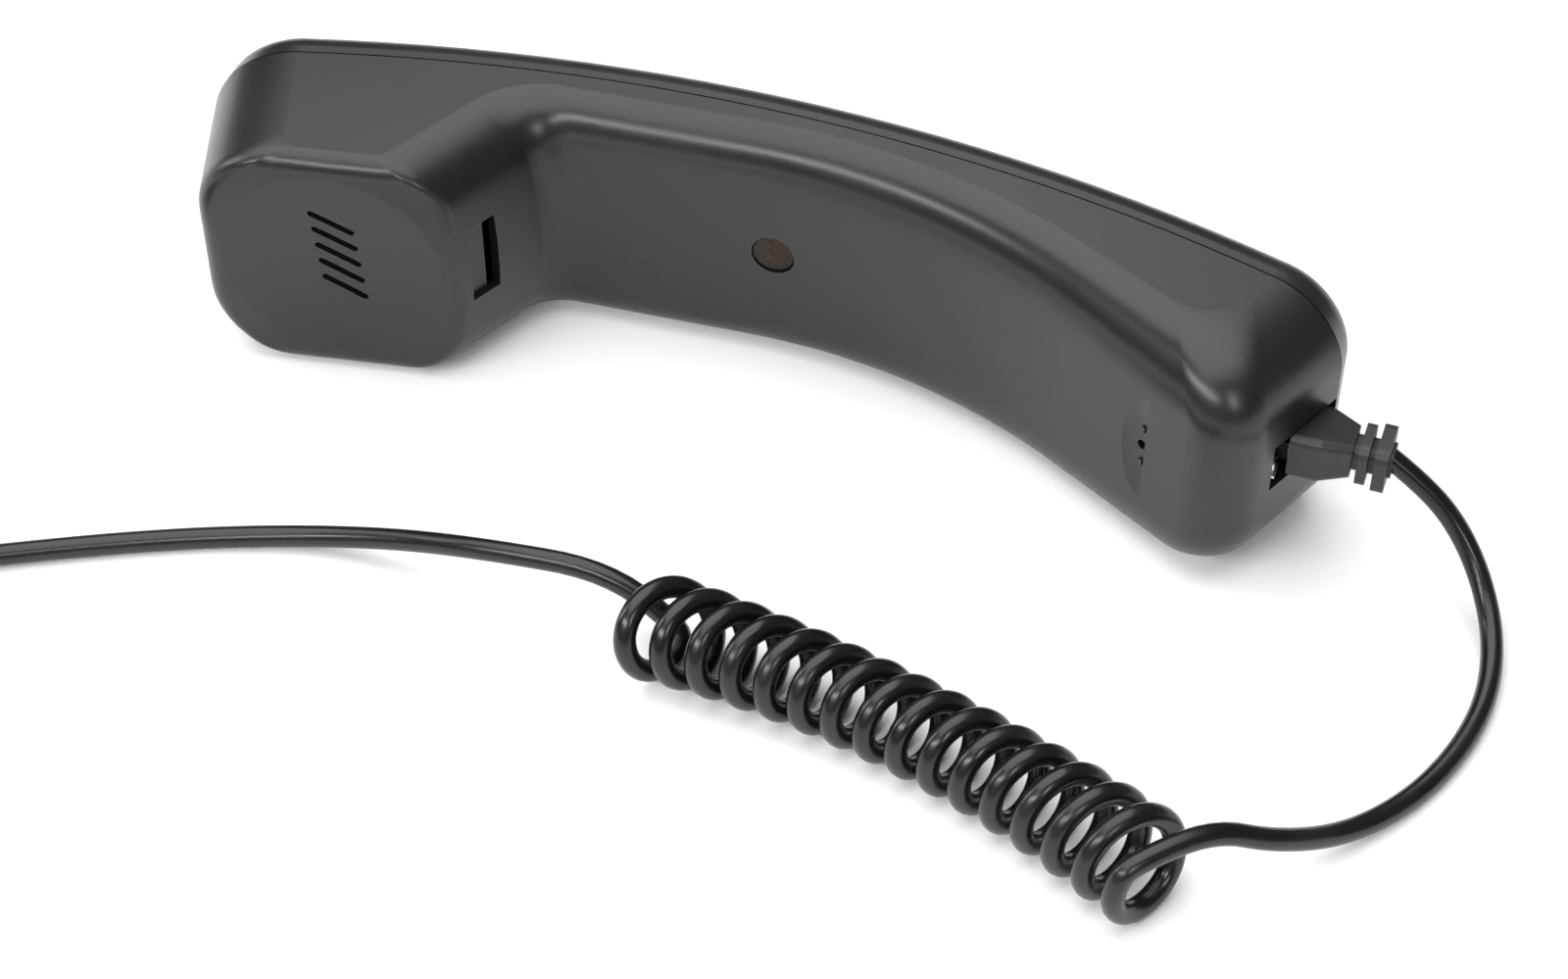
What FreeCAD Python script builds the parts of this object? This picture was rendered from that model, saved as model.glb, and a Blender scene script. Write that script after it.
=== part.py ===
import FreeCAD, Part
import math
import os

os.makedirs("parts", exist_ok=True)

V = FreeCAD.Vector

# overall frame: X along the handset to its plug end, Y from the hand to the back cover, Z up
HALF_LENGTH = 105.6
WIDTH = 50.0
MID_Z = WIDTH / 2.0
SEAM_TOP_Y = 18.0
SEAM_BOW = 17.9261
SEAM_RADIUS = (HALF_LENGTH ** 2 + SEAM_BOW ** 2) / (2.0 * SEAM_BOW)
SEAM_CENTRE_Y = SEAM_TOP_Y - SEAM_RADIUS
SHIFT_Y = -0.444

# outline of the front shell at half height, ear points counted from one end, mouth points from the other
EAR_END = -HALF_LENGTH
MOUTH_END = HALF_LENGTH
EAR_END_TURN = (8.7, -25.5)
EAR_FACE_POINT = (EAR_END + 34.7, -21.0)
EAR_FACE_ANGLE = 10.0
INNER_WALL_POINT = (EAR_END + 60.1, -8.0)
INNER_WALL_RUN = (7.4, 15.0)
GRIP_POINT = (-13.0, 7.2)
GRIP_SLOPE = 0.07
GRIP_BEND_SHARE = 0.261364
GRIP_BEND = (GRIP_BEND_SHARE * HALF_LENGTH, 10.0)
MOUTH_CORNER = (MOUTH_END - 12.3, -27.3)
MOUTH_END_RUN = (6.9, 14.9)
CORNER_EAR = 3.5
CORNER_LEAST = 1.0
CORNER_HOLLOW = 10.0
CORNER_GRIP_SHARE = 1.117424
CORNER_GRIP = CORNER_GRIP_SHARE * HALF_LENGTH
CORNER_MOUTH = 9.0

# rounding of the long edges toward the two flat sides
ROUND_EAR_END = 16.0
ROUND_EAR_FACE = 3.6
ROUND_LEAST = 0.8
ROUND_INNER_WALL = 9.5
ROUND_GRIP = 7.0
ROUND_MOUTH = 11.5
ROUND_MOUTH_END = 14.0
BARREL_RADIUS = 95.0

# walls and back cover
WALL = 2.2
COVER_HEIGHT = 8.0
COVER_ROUND = 6.0
COVER_WALL = 2.0
SEAM_GAP = 0.3
LIP_DEPTH = 1.6
LIP_THICK = 1.0
LIP_INSET = 3.4
LEDGE_TALL = 1.5
HOLLOW_PAST = 3.0
COVER_CUT_LOW = -20.0
COVER_CUT_TALL = 60.0
DRUM_PAST = 10.0
LIP_NOTCH_FROM_END = 25.6
LIP_NOTCH_HIGH = 14.0
LIP_NOTCH_PAST = 5.0
LIP_NOTCH_ROOM = 1.0

# heights at which the outline is drawn, as depths under a flat side and as shares of half the width
LEVEL_DEPTHS = (0.0, 0.1, 0.4, 0.9, 1.6, 2.5, 3.6, 5.0, 6.6, 8.5, 10.6, 13.0, 16.0)
LEVEL_SHARES = (0.82, 1.0)
CAVITY_DEPTHS = (0.0, 0.2, 0.8, 1.8, 3.2, 5.0, 7.3, 10.3, 14.8)
CAVITY_SHARES = (1.0,)

# ear face: dish, slots and the recess of the hook slot
DISH_CENTRE = (EAR_END + 32.26, -21.43)
DISH_RADIUS = 20.5
DISH_DEPTH = 0.9
DISH_RISE = 0.6
SLOT_WIDTH = 1.3
SLOT_LENGTH = 9.2
SLOT_PITCH = 3.8
SLOT_ANGLE = -28.0
SLOT_LEAN = 0.3
SLOT_COUNT = 5
SLOT_MIDDLE = (1.25, 2.7)
ROUND_END_SHARE = 0.9995
HOOK_FAR = -8.9
HOOK_NEAR = -14.6
HOOK_LOW = MID_Z - 6.6
HOOK_HIGH = MID_Z + 10.0
HOOK_OPEN = 2.3
HOOK_FLOOR = 1.3
HOOK_REACH = 5.0

# mouth face: sound hole, recess, marks
HOLE_FROM_CORNER = 20.243
MOUTH_HOLE_RADIUS = 1.0
SCOOP_DEPTH = 0.9
SCOOP_LEFT = 4.1
SCOOP_RIGHT = 1.3
SCOOP_HALF_HEIGHT = 11.6
SCOOP_EGG = 10.0
SCOOP_KEEP_LONG = 40.0
SCOOP_KEEP_WIDE = 60.0
SCOOP_KEEP_LOW = -25.0
SCOOP_KEEP_HIGH = 5.0
MARK_STEP = 3.9
MARK_LENGTH = 1.4
MARK_WIDTH = 0.7
MARK_HEIGHT = 0.35
MARK_ROOT = 0.3
MARK_BACK = 0.2
MARK_SINK = 0.15

# plug opening in the mouth end
PLUG_Y = -6.3
OPENING_FAR = 12.0
OPENING_WALL = 2.2
OPENING_PAST = 4.0
OPENING_LOW = MID_Z - 5.0
OPENING_HIGH = MID_Z + 5.2

# closing screw and foam disc on the grip
SCREW_X = 0.6
SCREW_SHANK = 1.5
SCREW_HEAD = 2.75
SCREW_HEAD_TALL = 2.2
SCREW_HEAD_ROUND = 0.5
SCREW_SINK = 3.6
SCREW_LENGTH = 11.5
SCREW_CLEAR = 0.2
SCREW_HOLE_LONG = 20.0
CROSS_WIDE = 0.7
CROSS_LONG = 3.0
CROSS_DEEP = 1.4
CROSS_SINK = 0.1
SEAT_FLOOR = 2.0
SEAT_ROOT = 1.5
FOAM_RADIUS = 4.0
FOAM_THICK = 0.8
FOAM_SINK = 0.25
FOAM_CLEAR = 0.1
BOSS_WALL = 1.9
BOSS_GAP = 0.4
BOSS_CLEAR = 0.01
BOSS_LONG = 12.0
CUT_PAST = 1.0
FIRM_ROOT = 1.0

# receiver stack behind the ear face, depths counted from the face
GASKET_OUTER = 16.8
GASKET_INNER = 13.4
GASKET_THICK = 0.9
CLOTH_RADIUS = 12.6
CLOTH_THICK = 0.3
BASKET_RADIUS = 17.0
BASKET_WALL = 1.1
BASKET_TALL = 4.0
BASKET_FLOOR = 1.0
BASKET_FRONT = WALL + GASKET_THICK
BASKET_BACK = BASKET_FRONT + BASKET_TALL
VENT_RADIUS = 1.5
VENT_CIRCLE = 12.0
VENT_COUNT = 6
VENT_REACH = 3.0
YOKE_RADIUS = 8.6
YOKE_WALL = 1.5
YOKE_FLOOR = 1.3
YOKE_TALL = 5.0
YOKE_STANDS = 3.0
YOKE_BACK = BASKET_BACK + YOKE_STANDS
MAGNET_RADIUS = 5.6
MAGNET_TALL = 2.2
PLATE_TALL = 1.1
COIL_GAP = 0.4
COIL_WALL = 0.5
COIL_TALL = 2.8
CONE_CLEAR = 0.4
CONE_THICK = 0.2
CONE_DEPTH = 1.5
CONE_LAP = 0.2
DOME_RISE = 0.8
DOME_REACH = 2.0
CLAMP_WIDTH = 7.0
CLAMP_THICK = 1.0
CLAMP_PAST = 2.6
CLAMP_ROUND = 2.5
CLAMP_HOLE_CLEAR = 0.2
CLAMP_SCREW = 0.9
CLAMP_SCREW_LENGTH = 5.0
CLAMP_SCREW_ROOM = 0.5
CLAMP_HEAD = 1.9
CLAMP_HEAD_TALL = 1.1
CLAMP_SLOT_LONG = 2.4
CLAMP_SLOT_WIDE = 0.5
CLAMP_SLOT_DEEP = 0.5
POST_CIRCLE = 21.3
POST_RADIUS = 2.4
POST_HOLE = 0.9
POST_ANGLES = (45.0, 225.0)
TERMINAL_S = 13.2
TERMINAL_GAP = 2.6
TERMINAL_LONG = 2.4
TERMINAL_WIDE = 1.8
TERMINAL_TALL = 0.4

# circuit board and what stands on it, counted from the mouth end
BOARD_LOW = MID_Z - 3.5
BOARD_THICK = 1.6
BOARD_TOP = BOARD_LOW + BOARD_THICK
BOARD_BACK = MOUTH_END - 19.2
BOARD_FRONT = MOUTH_END - 6.0
MOUTH_SLOPE = (MOUTH_CORNER[1] - GRIP_BEND[1]) / (MOUTH_CORNER[0] - GRIP_BEND[0])
BOARD_WALL_ROOM = 5.783
BOARD_NEAR = MOUTH_CORNER[1] + MOUTH_SLOPE * (BOARD_BACK - MOUTH_CORNER[0]) + BOARD_WALL_ROOM
BOARD_FAR = 0.8
OPENING_ROOM = 2.3
OPENING_NEAR = BOARD_NEAR + OPENING_ROOM
BOARD_BEVEL = (MOUTH_END - 12.2, MOUTH_END - 10.6, BOARD_NEAR + 1.6, -6.4)
BOARD_POST_X = MOUTH_END - 17.3
BOARD_POST_YS = (-8.4, -1.6)
BOARD_POST = 2.3
BOARD_POST_FOOT = 0.5
BOARD_SCREW = 0.9
BOARD_SCREW_LENGTH = 6.0
BOARD_SCREW_CLEAR = 0.15
BOARD_HEAD = 1.7
BOARD_HEAD_TALL = 1.2
BOARD_SLOT_HALF = 1.1
BOARD_SLOT_WIDE = 0.5
BOARD_SLOT_DEEP = 0.5
CHIP = (MOUTH_END - 14.0, MOUTH_END - 8.8, -9.8, -2.2, 1.4)
CRYSTAL = (MOUTH_END - 16.6, MOUTH_END - 6.6, BOARD_NEAR + 2.4, BOARD_NEAR + 5.8, 2.4)
CRYSTAL_BASE = 0.4
CRYSTAL_RIM = 0.35
CRYSTAL_CORNER = 1.2
CAPS = ((MOUTH_END - 17.4, BOARD_NEAR + 1.8), (MOUTH_END - 13.0, BOARD_NEAR + 1.8))
CAP_SIZE = (3.2, 2.6, 1.8)
PLUG_FACE = MOUTH_END - 5.3
SOCKET_HALF = 3.85
SOCKET_TALL = 4.0
SOCKET_WALL = 0.3
SOCKET_BACK = 0.4
SOCKET_LENGTH = 9.0
SOCKET_CLEAR = 0.3
SOCKET_Z = BOARD_TOP + SOCKET_TALL / 2.0
TONGUE_HALF_Y = 2.0
TONGUE_HALF_Z = 0.45
TONGUE_SHORT = 1.2
TONGUE_CLEAR = 0.3

# microphone
CAPSULE_RADIUS = 4.85
CAPSULE_TALL = 6.0
CAPSULE_HOLE = 0.9
CAPSULE_HOLE_DEEP = 0.8
BOOT_WALL = 1.3
BOOT_FACE = 0.9
BOOT_SHORT = 1.5
BOOT_HOLE_CLEAR = 0.2
RING_WALL = 1.2
RING_TALL = 4.5
RING_CLEAR = 0.05
RING_ROOT = 0.6
CAPSULE_BACK = WALL + BOOT_FACE + CAPSULE_TALL

# ballast in the grip
BALLAST = (-38.0, -8.0, 12.6, 20.0, MID_Z - 12.5, MID_Z + 12.5)
BALLAST_ROUND = 1.5
BALLAST_SCREWS = (-32.0, -14.0)
BALLAST_SCREW = 1.3
BALLAST_SCREW_REACH = 3.0
BALLAST_SCREW_ROOM = 0.3
BALLAST_SCREW_CLEAR = 0.2
BALLAST_POST = 3.5
BALLAST_POST_FOOT = 0.8
BALLAST_HEAD = 2.4
BALLAST_HEAD_TALL = 1.6
BALLAST_SLOT_HALF = 1.5
BALLAST_SLOT_WIDE = 0.6
BALLAST_SLOT_DEEP = 0.6

# mini plug, its lengths counted from the plug face
PLUG_SHELL_HALF_Y = 3.4
PLUG_SHELL_HALF_Z = 1.5
PLUG_SHELL_WALL = 0.3
PLUG_REACH = 6.7
PLUG_ROOT = 2.0
PLUG_INSERT_SHORT = 0.2
PLUG_SLOT_STOP = 0.5
PLUG_BODY_WIDE = 10.8
PLUG_BODY_TALL = 9.4
PLUG_BODY_ROUND = 1.6
PLUG_BODY_LONG = 5.4
PLUG_TAPER_LONG = 10.5
PLUG_NECK = 7.4
PLUG_FLANGES = ((11.6, 13.3, 8.8), (14.5, 16.7, 9.6))
PLUG_FLANGE_ROUND = 2.2
PLUG_TAIL_LONG = 17.3
PLUG_TAIL_SIZE = 5.4
PLUG_Z = SOCKET_Z

# cord, and wires whose heights are shares of half the width
CORD = 3.9
WIRE = 0.8
WIRE_STUB = 5.0
GRIP_WIRE_SHARES = (0.5492, 0.4640, 0.3409, 0.1705, -0.0379)
GRIP_WIRE_RED = ((-1.0, 0.44), (8.0, 0.7), (14.0, 0.76), (16.4, 0.776), (17.2, 0.776))
GRIP_WIRE_BLACK = ((0.0, 0.32), (10.0, 0.632), (15.6, 0.696), (18.0, 0.712), (18.8, 0.712))
GRIP_WIRE_STEP = 1.0
RED_TO_BOARD = (
    (79.6, 15.4, 0.76),
    (59.6, 10.6, 0.704),
    (43.6, 5.0, 0.6),
    (29.6, -1.0, 0.464),
    (19.6, -8.5, 0.288),
    (13.0, -13.0, 0.14),
    (7.3, -12.6, 0.1),
    (6.8, -7.2, 0.156),
    (8.6, -2.6, 0.144),
    (9.2, -0.9, 0.064),
)
BLACK_TO_BOARD = (
    (78.6, 17.0, 0.696),
    (58.6, 12.2, 0.64),
    (42.6, 6.6, 0.528),
    (28.6, 2.4, 0.36),
    (18.6, 0.2, 0.216),
    (12.6, -0.9, 0.104),
)
MOUTH_WIRE_PADS = ((18.3, -5.75), (18.3, -4.25))
MOUTH_WIRE_S = 1.6
MOUTH_WIRE_SIDE = 1.4
MOUTH_WIRE_STUB = 3.6
MOUTH_WIRE_HIGH = 3.0

# route of the cord: first points counted from the mouth end and half height, the rest down to the table
EXIT_ROUTE = ((11.0, -6.25, 0.75), (18.4, -6.6, -4.0))
TABLE_ROUTE = (
    (131.0, -8.0, 14.2),
    (137.0, -13.0, 7.4),
    (141.2, -22.0, 2.9),
    (142.3, -34.0, 1.95),
    (139.8, -47.0, 1.95),
    (134.5, -59.0, 1.95),
    (126.2, -70.3, 3.4),
    (116.4, -81.0, 10.5),
    (106.8, -86.5, 16.4),
)
HANDSET_ROUTE = tuple((MOUTH_END + x, y, MID_Z + up) for x, y, up in EXIT_ROUTE) + TABLE_ROUTE

# curled part of the cord: path, radius and lean change along its turns
CURL_PATH_X = (100.91, -91.21, -0.66)
CURL_PATH_Y = (-93.85, 47.02, -23.19)
CURL_RADII = (8.31, -6.07, 5.33)
CURL_LEAN_FAR = (0.115, 0.2415)
CURL_LEAN_UP = (-0.133, -0.285)
CURL_TURNS = 15.0
CURL_START = 0.12
CURL_STOP = 15.62
CURL_STUB = 3.9
HOST_EXIT = (-4.3, -63.0, 12.2)
HOST_ROUTE = (
    (-24.5, -64.9, 12.0),
    (-42.0, -63.0, 6.6),
    (-58.0, -63.9, 2.8),
    (-74.0, -68.8, 2.0),
    (-90.0, -75.9, 2.1),
    (-106.0, -84.1, 2.3),
    (-121.0, -92.4, 2.5),
    (-136.0, -100.8, 2.5),
)

# put-away coil, its tie and its tail
COIL_FIRST_RADIUS = 25.3
COIL_PITCH = 4.35
COIL_INWARD = 5
COIL_LOW = 2.5
COIL_CLIMB = 1.3
COIL_STUB = 4.0
TIE_THICK = 0.4
TIE_WIDE = 6.0
TIE_CLEAR = 0.1
TIE_SAG = 0.45
TIE_ROUND = 0.5
TAIL_STEPS = ((10.0, 0.0), (24.0, -2.5), (38.0, -2.5))

# USB-A plug at the far end
HOST_BODY_LONG = 21.0
HOST_BODY_WIDE = 15.6
HOST_BODY_TALL = 7.8
HOST_BODY_ROUND = 2.2
HOST_BACK_ROUND = 1.2
HOST_RELIEF = 9.0
HOST_RELIEF_THIN = 2.6
HOST_RELIEF_THICK = 3.6
HOST_RIB_COUNT = 3
HOST_RIB_START = 1.6
HOST_RIB_STEP = 2.3
HOST_RIB_RADIUS = 3.5
HOST_RIB_LONG = 1.0
HOST_SHELL_WIDE = 12.0
HOST_SHELL_TALL = 4.5
HOST_SHELL_LONG = 14.5
HOST_SHELL_WALL = 0.35
HOST_SHELL_ROOT = 4.0
HOST_WINDOW_LONG = 2.4
HOST_WINDOW_WIDE = 2.2
HOST_WINDOW_BACK = 6.4
HOST_WINDOW_SIDE = 2.9
HOST_INSERT_TALL = 1.9
HOST_INSERT_SHORT = 0.3
CONTACT_COUNT = 4
CONTACT_STEP = 2.3
CONTACT_WIDE = 1.0
CONTACT_THICK = 0.15
CONTACT_LONG = 7.5
CONTACT_BACK = 1.2


def unit2(run):
    size = math.hypot(run[0], run[1])
    return (run[0] / size, run[1] / size)


def left_normal(run):
    return (-run[1], run[0])


def moved(point, run, distance):
    return (point[0] + run[0] * distance, point[1] + run[1] * distance)


def cross_point(p, u, q, w):
    det = u[0] * w[1] - u[1] * w[0]
    along = ((q[0] - p[0]) * w[1] - (q[1] - p[1]) * w[0]) / det
    return moved(p, u, along)


def export(name, shape):
    shifted = shape.copy()
    shifted.translate(V(0.0, SHIFT_Y, 0.0))
    shifted.exportStep("parts/" + name + ".step")
    print(name, "solids", len(shifted.Solids), "volume", round(shifted.Volume, 1), shifted.isValid())


def box(x0, x1, y0, y1, z0, z1):
    return Part.makeBox(x1 - x0, y1 - y0, z1 - z0, V(x0, y0, z0))


def rod(start, axis, radius, length):
    return Part.makeCylinder(radius, length, start, axis)


def tube(start, axis, outer, inner, length):
    return rod(start, axis, outer, length).cut(rod(start, axis, inner, length))


def disc(radius, low, high):
    return Part.makeCylinder(radius, high - low, V(0, 0, low))


def ring(outer, inner, low, high):
    return disc(outer, low, high).cut(disc(inner, low - CUT_PAST, high + CUT_PAST))


def frame_at(origin, x_run, z_run):
    x_axis = V(x_run[0], x_run[1], 0.0)
    z_axis = V(z_run[0], z_run[1], 0.0)
    y_axis = z_axis.cross(x_axis)
    turn = FreeCAD.Rotation(x_axis, y_axis, z_axis, "ZXY")
    return FreeCAD.Placement(V(origin[0], origin[1], MID_Z), turn)


def placed(shape, frame):
    put = shape.copy()
    put.Placement = frame.multiply(put.Placement)
    return put


def rounded_bar(half_x, half_y, z0, z1, radius):
    bar = Part.makeBox(2.0 * half_x, 2.0 * half_y, z1 - z0, V(-half_x, -half_y, z0))
    upright = [e for e in bar.Edges if abs(e.tangentAt(e.FirstParameter).z) > 0.9]
    return bar.makeFillet(radius, upright)


# frames of the ear face, the mouth face, the hook slot and the grip's screw
EAR_RUN = (math.cos(math.radians(EAR_FACE_ANGLE)), math.sin(math.radians(EAR_FACE_ANGLE)))
EAR_FRAME = frame_at(DISH_CENTRE, EAR_RUN, left_normal(EAR_RUN))
MOUTH_RUN = unit2((MOUTH_CORNER[0] - GRIP_BEND[0], MOUTH_CORNER[1] - GRIP_BEND[1]))
MOUTH_HOLE = moved(MOUTH_CORNER, MOUTH_RUN, -HOLE_FROM_CORNER)
MOUTH_FRAME = frame_at(MOUTH_HOLE, MOUTH_RUN, left_normal(MOUTH_RUN))
HOOK_RUN = unit2(INNER_WALL_RUN)
HOOK_FRAME = frame_at(INNER_WALL_POINT, HOOK_RUN, left_normal(HOOK_RUN))
SCREW_Y = GRIP_POINT[1] + GRIP_SLOPE * (SCREW_X - GRIP_POINT[0])
GRIP_RUN = unit2((1.0, GRIP_SLOPE))
GRIP_FRAME = frame_at((SCREW_X, SCREW_Y), GRIP_RUN, left_normal(GRIP_RUN))


def rounding(radius, half_height, z):
    over = abs(z - MID_Z) - (half_height - radius)
    if over <= 0.0:
        return 0.0
    over = min(over, radius)
    return radius - math.sqrt(max(radius * radius - over * over, 0.0))


def seam_point(x, radius):
    return (x, SEAM_CENTRE_Y + math.sqrt(radius * radius - x * x))


def section_lines(z, wall):
    half = WIDTH / 2.0 - wall
    ear_end = rounding(ROUND_EAR_END - wall, half, z)
    ear_face = rounding(max(ROUND_EAR_FACE - wall, ROUND_LEAST), half, z)
    inner = rounding(ROUND_INNER_WALL - wall, half, z) + (z - MID_Z) ** 2 / (2.0 * BARREL_RADIUS)
    grip = rounding(ROUND_GRIP - wall, half, z)
    mouth = rounding(ROUND_MOUTH - wall, half, z)
    mouth_end = rounding(ROUND_MOUTH_END - wall, half, z)
    angle = math.radians(EAR_FACE_ANGLE)
    run1 = unit2(EAR_END_TURN)
    run2 = (math.cos(angle), math.sin(angle))
    run3 = unit2(INNER_WALL_RUN)
    run4 = unit2((1.0, GRIP_SLOPE))
    plain5 = unit2((MOUTH_CORNER[0] - GRIP_BEND[0], MOUTH_CORNER[1] - GRIP_BEND[1]))
    run6 = unit2(MOUTH_END_RUN)
    start5 = moved(GRIP_BEND, left_normal(plain5), wall + grip)
    stop5 = moved(MOUTH_CORNER, left_normal(plain5), wall + mouth)
    run5 = unit2((stop5[0] - start5[0], stop5[1] - start5[1]))
    first = seam_point(-HALF_LENGTH + ear_end, SEAM_RADIUS)
    last = seam_point(HALF_LENGTH - mouth_end, SEAM_RADIUS)
    return [
        (moved(first, left_normal(run1), wall), run1),
        (moved(EAR_FACE_POINT, left_normal(run2), wall + ear_face), run2),
        (moved(INNER_WALL_POINT, left_normal(run3), wall + inner), run3),
        (moved(GRIP_POINT, left_normal(run4), wall + grip), run4),
        (start5, run5),
        (moved(last, left_normal(run6), wall), run6),
    ], grip


def circle_cross(point, run, radius, side):
    ox = point[0]
    oy = point[1] - SEAM_CENTRE_Y
    b = ox * run[0] + oy * run[1]
    c = ox * ox + oy * oy - radius * radius
    along = -b + side * math.sqrt(b * b - c)
    return moved(point, run, along)


def section_wire(z, wall, seam_radius):
    lines, grip = section_lines(z, wall)
    radii = [
        max(CORNER_EAR - wall, CORNER_LEAST),
        max(CORNER_EAR - wall, CORNER_LEAST),
        CORNER_HOLLOW + wall + grip,
        CORNER_GRIP + wall + grip,
        CORNER_MOUTH - wall,
    ]
    start = circle_cross(lines[0][0], lines[0][1], seam_radius, -1.0)
    end = circle_cross(lines[5][0], lines[5][1], seam_radius, 1.0)
    edges = []
    here = start
    for index in range(5):
        p, u = lines[index]
        q, w = lines[index + 1]
        corner = cross_point(p, u, q, w)
        turn = math.acos(u[0] * w[0] + u[1] * w[1])
        back = radii[index] * math.tan(turn / 2.0)
        enter = moved(corner, u, -back)
        leave = moved(corner, w, back)
        bisect = unit2((w[0] - u[0], w[1] - u[1]))
        sag = radii[index] / math.cos(turn / 2.0) - radii[index]
        middle = moved(corner, bisect, sag)
        edges.append(Part.LineSegment(V(here[0], here[1], z), V(enter[0], enter[1], z)).toShape())
        arc = Part.Arc(V(enter[0], enter[1], z), V(middle[0], middle[1], z), V(leave[0], leave[1], z))
        edges.append(arc.toShape())
        here = leave
    edges.append(Part.LineSegment(V(here[0], here[1], z), V(end[0], end[1], z)).toShape())
    top = seam_point(0.0, seam_radius)
    edges.append(Part.Arc(V(end[0], end[1], z), V(top[0], top[1], z), V(start[0], start[1], z)).toShape())
    return Part.Wire(edges)


def stacked(depths, shares, wall, seam_radius, ruled):
    low = [wall + depth for depth in depths]
    low.extend(MID_Z * share for share in shares)
    both = low + [WIDTH - z for z in reversed(low[:-1])]
    wires = [section_wire(z, wall, seam_radius) for z in both]
    return Part.makeLoft(wires, True, ruled)


def dish_cut():
    ball = (DISH_RADIUS ** 2 + DISH_DEPTH ** 2) / (2.0 * DISH_DEPTH)
    return placed(Part.makeSphere(ball, V(0.0, -DISH_RISE, DISH_DEPTH - ball)), EAR_FRAME)


def slot_cuts():
    cuts = []
    half = SLOT_LENGTH / 2.0 - SLOT_WIDTH / 2.0
    for index in range(SLOT_COUNT):
        count = index - (SLOT_COUNT - 1) / 2.0
        half_wide = SLOT_WIDTH / 2.0
        bar = rounded_bar(half + half_wide, half_wide, -CUT_PAST, 2.0 * WALL, half_wide * ROUND_END_SHARE)
        bar.rotate(V(0, 0, 0), V(0, 0, 1), -SLOT_ANGLE)
        bar.translate(V(SLOT_MIDDLE[0] + count * SLOT_LEAN, -SLOT_MIDDLE[1] + count * SLOT_PITCH, 0.0))
        cuts.append(placed(bar, EAR_FRAME))
    return cuts


def hook_cuts():
    slope = unit2(INNER_WALL_RUN)
    near = (HOOK_NEAR - INNER_WALL_POINT[1]) / slope[1]
    far = (HOOK_FAR - INNER_WALL_POINT[1]) / slope[1]
    low = MID_Z - HOOK_HIGH
    high = MID_Z - HOOK_LOW
    shelf = Part.makeBox(far - near, high - low, HOOK_FLOOR + CUT_PAST, V(near, low, -CUT_PAST))
    gap = Part.makeBox(HOOK_OPEN, high - low, HOOK_REACH + CUT_PAST, V(far - HOOK_OPEN, low, -CUT_PAST))
    return [placed(shelf, HOOK_FRAME), placed(gap, HOOK_FRAME)]


def scoop_cut():
    height = SCOOP_EGG - SCOOP_DEPTH
    share = math.sqrt(1.0 - (height / SCOOP_EGG) ** 2)
    reach = SCOOP_LEFT + SCOOP_RIGHT
    ball = Part.makeSphere(SCOOP_EGG)
    matrix = FreeCAD.Matrix()
    matrix.scale(V(reach / share / SCOOP_EGG, SCOOP_HALF_HEIGHT / share / SCOOP_EGG, 1.0))
    egg = ball.transformGeometry(matrix)
    egg.translate(V(SCOOP_RIGHT, 0.0, -height))
    low = V(SCOOP_RIGHT - SCOOP_KEEP_LONG, -SCOOP_KEEP_WIDE / 2.0, SCOOP_KEEP_LOW)
    keep = Part.makeBox(SCOOP_KEEP_LONG, SCOOP_KEEP_WIDE, SCOOP_KEEP_HIGH - SCOOP_KEEP_LOW, low)
    return placed(egg.common(keep), MOUTH_FRAME)


def mouth_marks():
    marks = []
    for side in (-1.0, 1.0):
        middle = side * MARK_STEP
        base = SCOOP_DEPTH - MARK_SINK - MARK_HEIGHT
        low = V(-MARK_BACK, middle - MARK_LENGTH / 2.0, base)
        mark = Part.makeBox(MARK_WIDTH, MARK_LENGTH, MARK_HEIGHT + MARK_ROOT, low)
        marks.append(placed(mark, MOUTH_FRAME))
    return marks


def opening_cut():
    inside = MOUTH_CORNER[0] + OPENING_WALL
    outside = MOUTH_END + OPENING_PAST
    return box(inside, outside, OPENING_NEAR, OPENING_FAR, OPENING_LOW, OPENING_HIGH)


def closing_screw():
    start = V(SCREW_X, SCREW_Y + SCREW_SINK - SCREW_HEAD_TALL, MID_Z)
    up = V(0, 1, 0)
    head = rod(start, up, SCREW_HEAD, SCREW_HEAD_TALL)
    rim = [e for e in head.Edges if abs(e.BoundBox.YMax - start.y) < 0.01]
    head = head.makeFillet(SCREW_HEAD_ROUND, rim)
    shank = rod(start, up, SCREW_SHANK, SCREW_HEAD_TALL + SCREW_LENGTH)
    thin = CROSS_WIDE / 2.0
    long = CROSS_LONG / 2.0
    low = start.y - CROSS_SINK
    high = low + CROSS_DEEP
    cross = box(SCREW_X - thin, SCREW_X + thin, low, high, MID_Z - long, MID_Z + long)
    cross = cross.fuse(box(SCREW_X - long, SCREW_X + long, low, high, MID_Z - thin, MID_Z + thin))
    return head.fuse(shank).cut(cross).removeSplitter()


def screw_cuts():
    up = V(0, 1, 0)
    pocket = placed(disc(FOAM_RADIUS + FOAM_CLEAR, -CUT_PAST, FOAM_THICK + FOAM_SINK), GRIP_FRAME)
    well = rod(V(SCREW_X, SCREW_Y, MID_Z), up, SCREW_HEAD + SCREW_CLEAR, SCREW_SINK)
    hole = rod(V(SCREW_X, SCREW_Y, MID_Z), up, SCREW_SHANK + SCREW_CLEAR, SCREW_HOLE_LONG)
    return [pocket, well, hole]


def foam_disc():
    disc = Part.makeCylinder(FOAM_RADIUS, FOAM_THICK, V(0, 0, FOAM_SINK))
    return placed(disc, GRIP_FRAME)


def drum(radius):
    return Part.makeCylinder(radius, WIDTH + 2.0 * DRUM_PAST, V(0, SEAM_CENTRE_Y, -DRUM_PAST))


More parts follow.
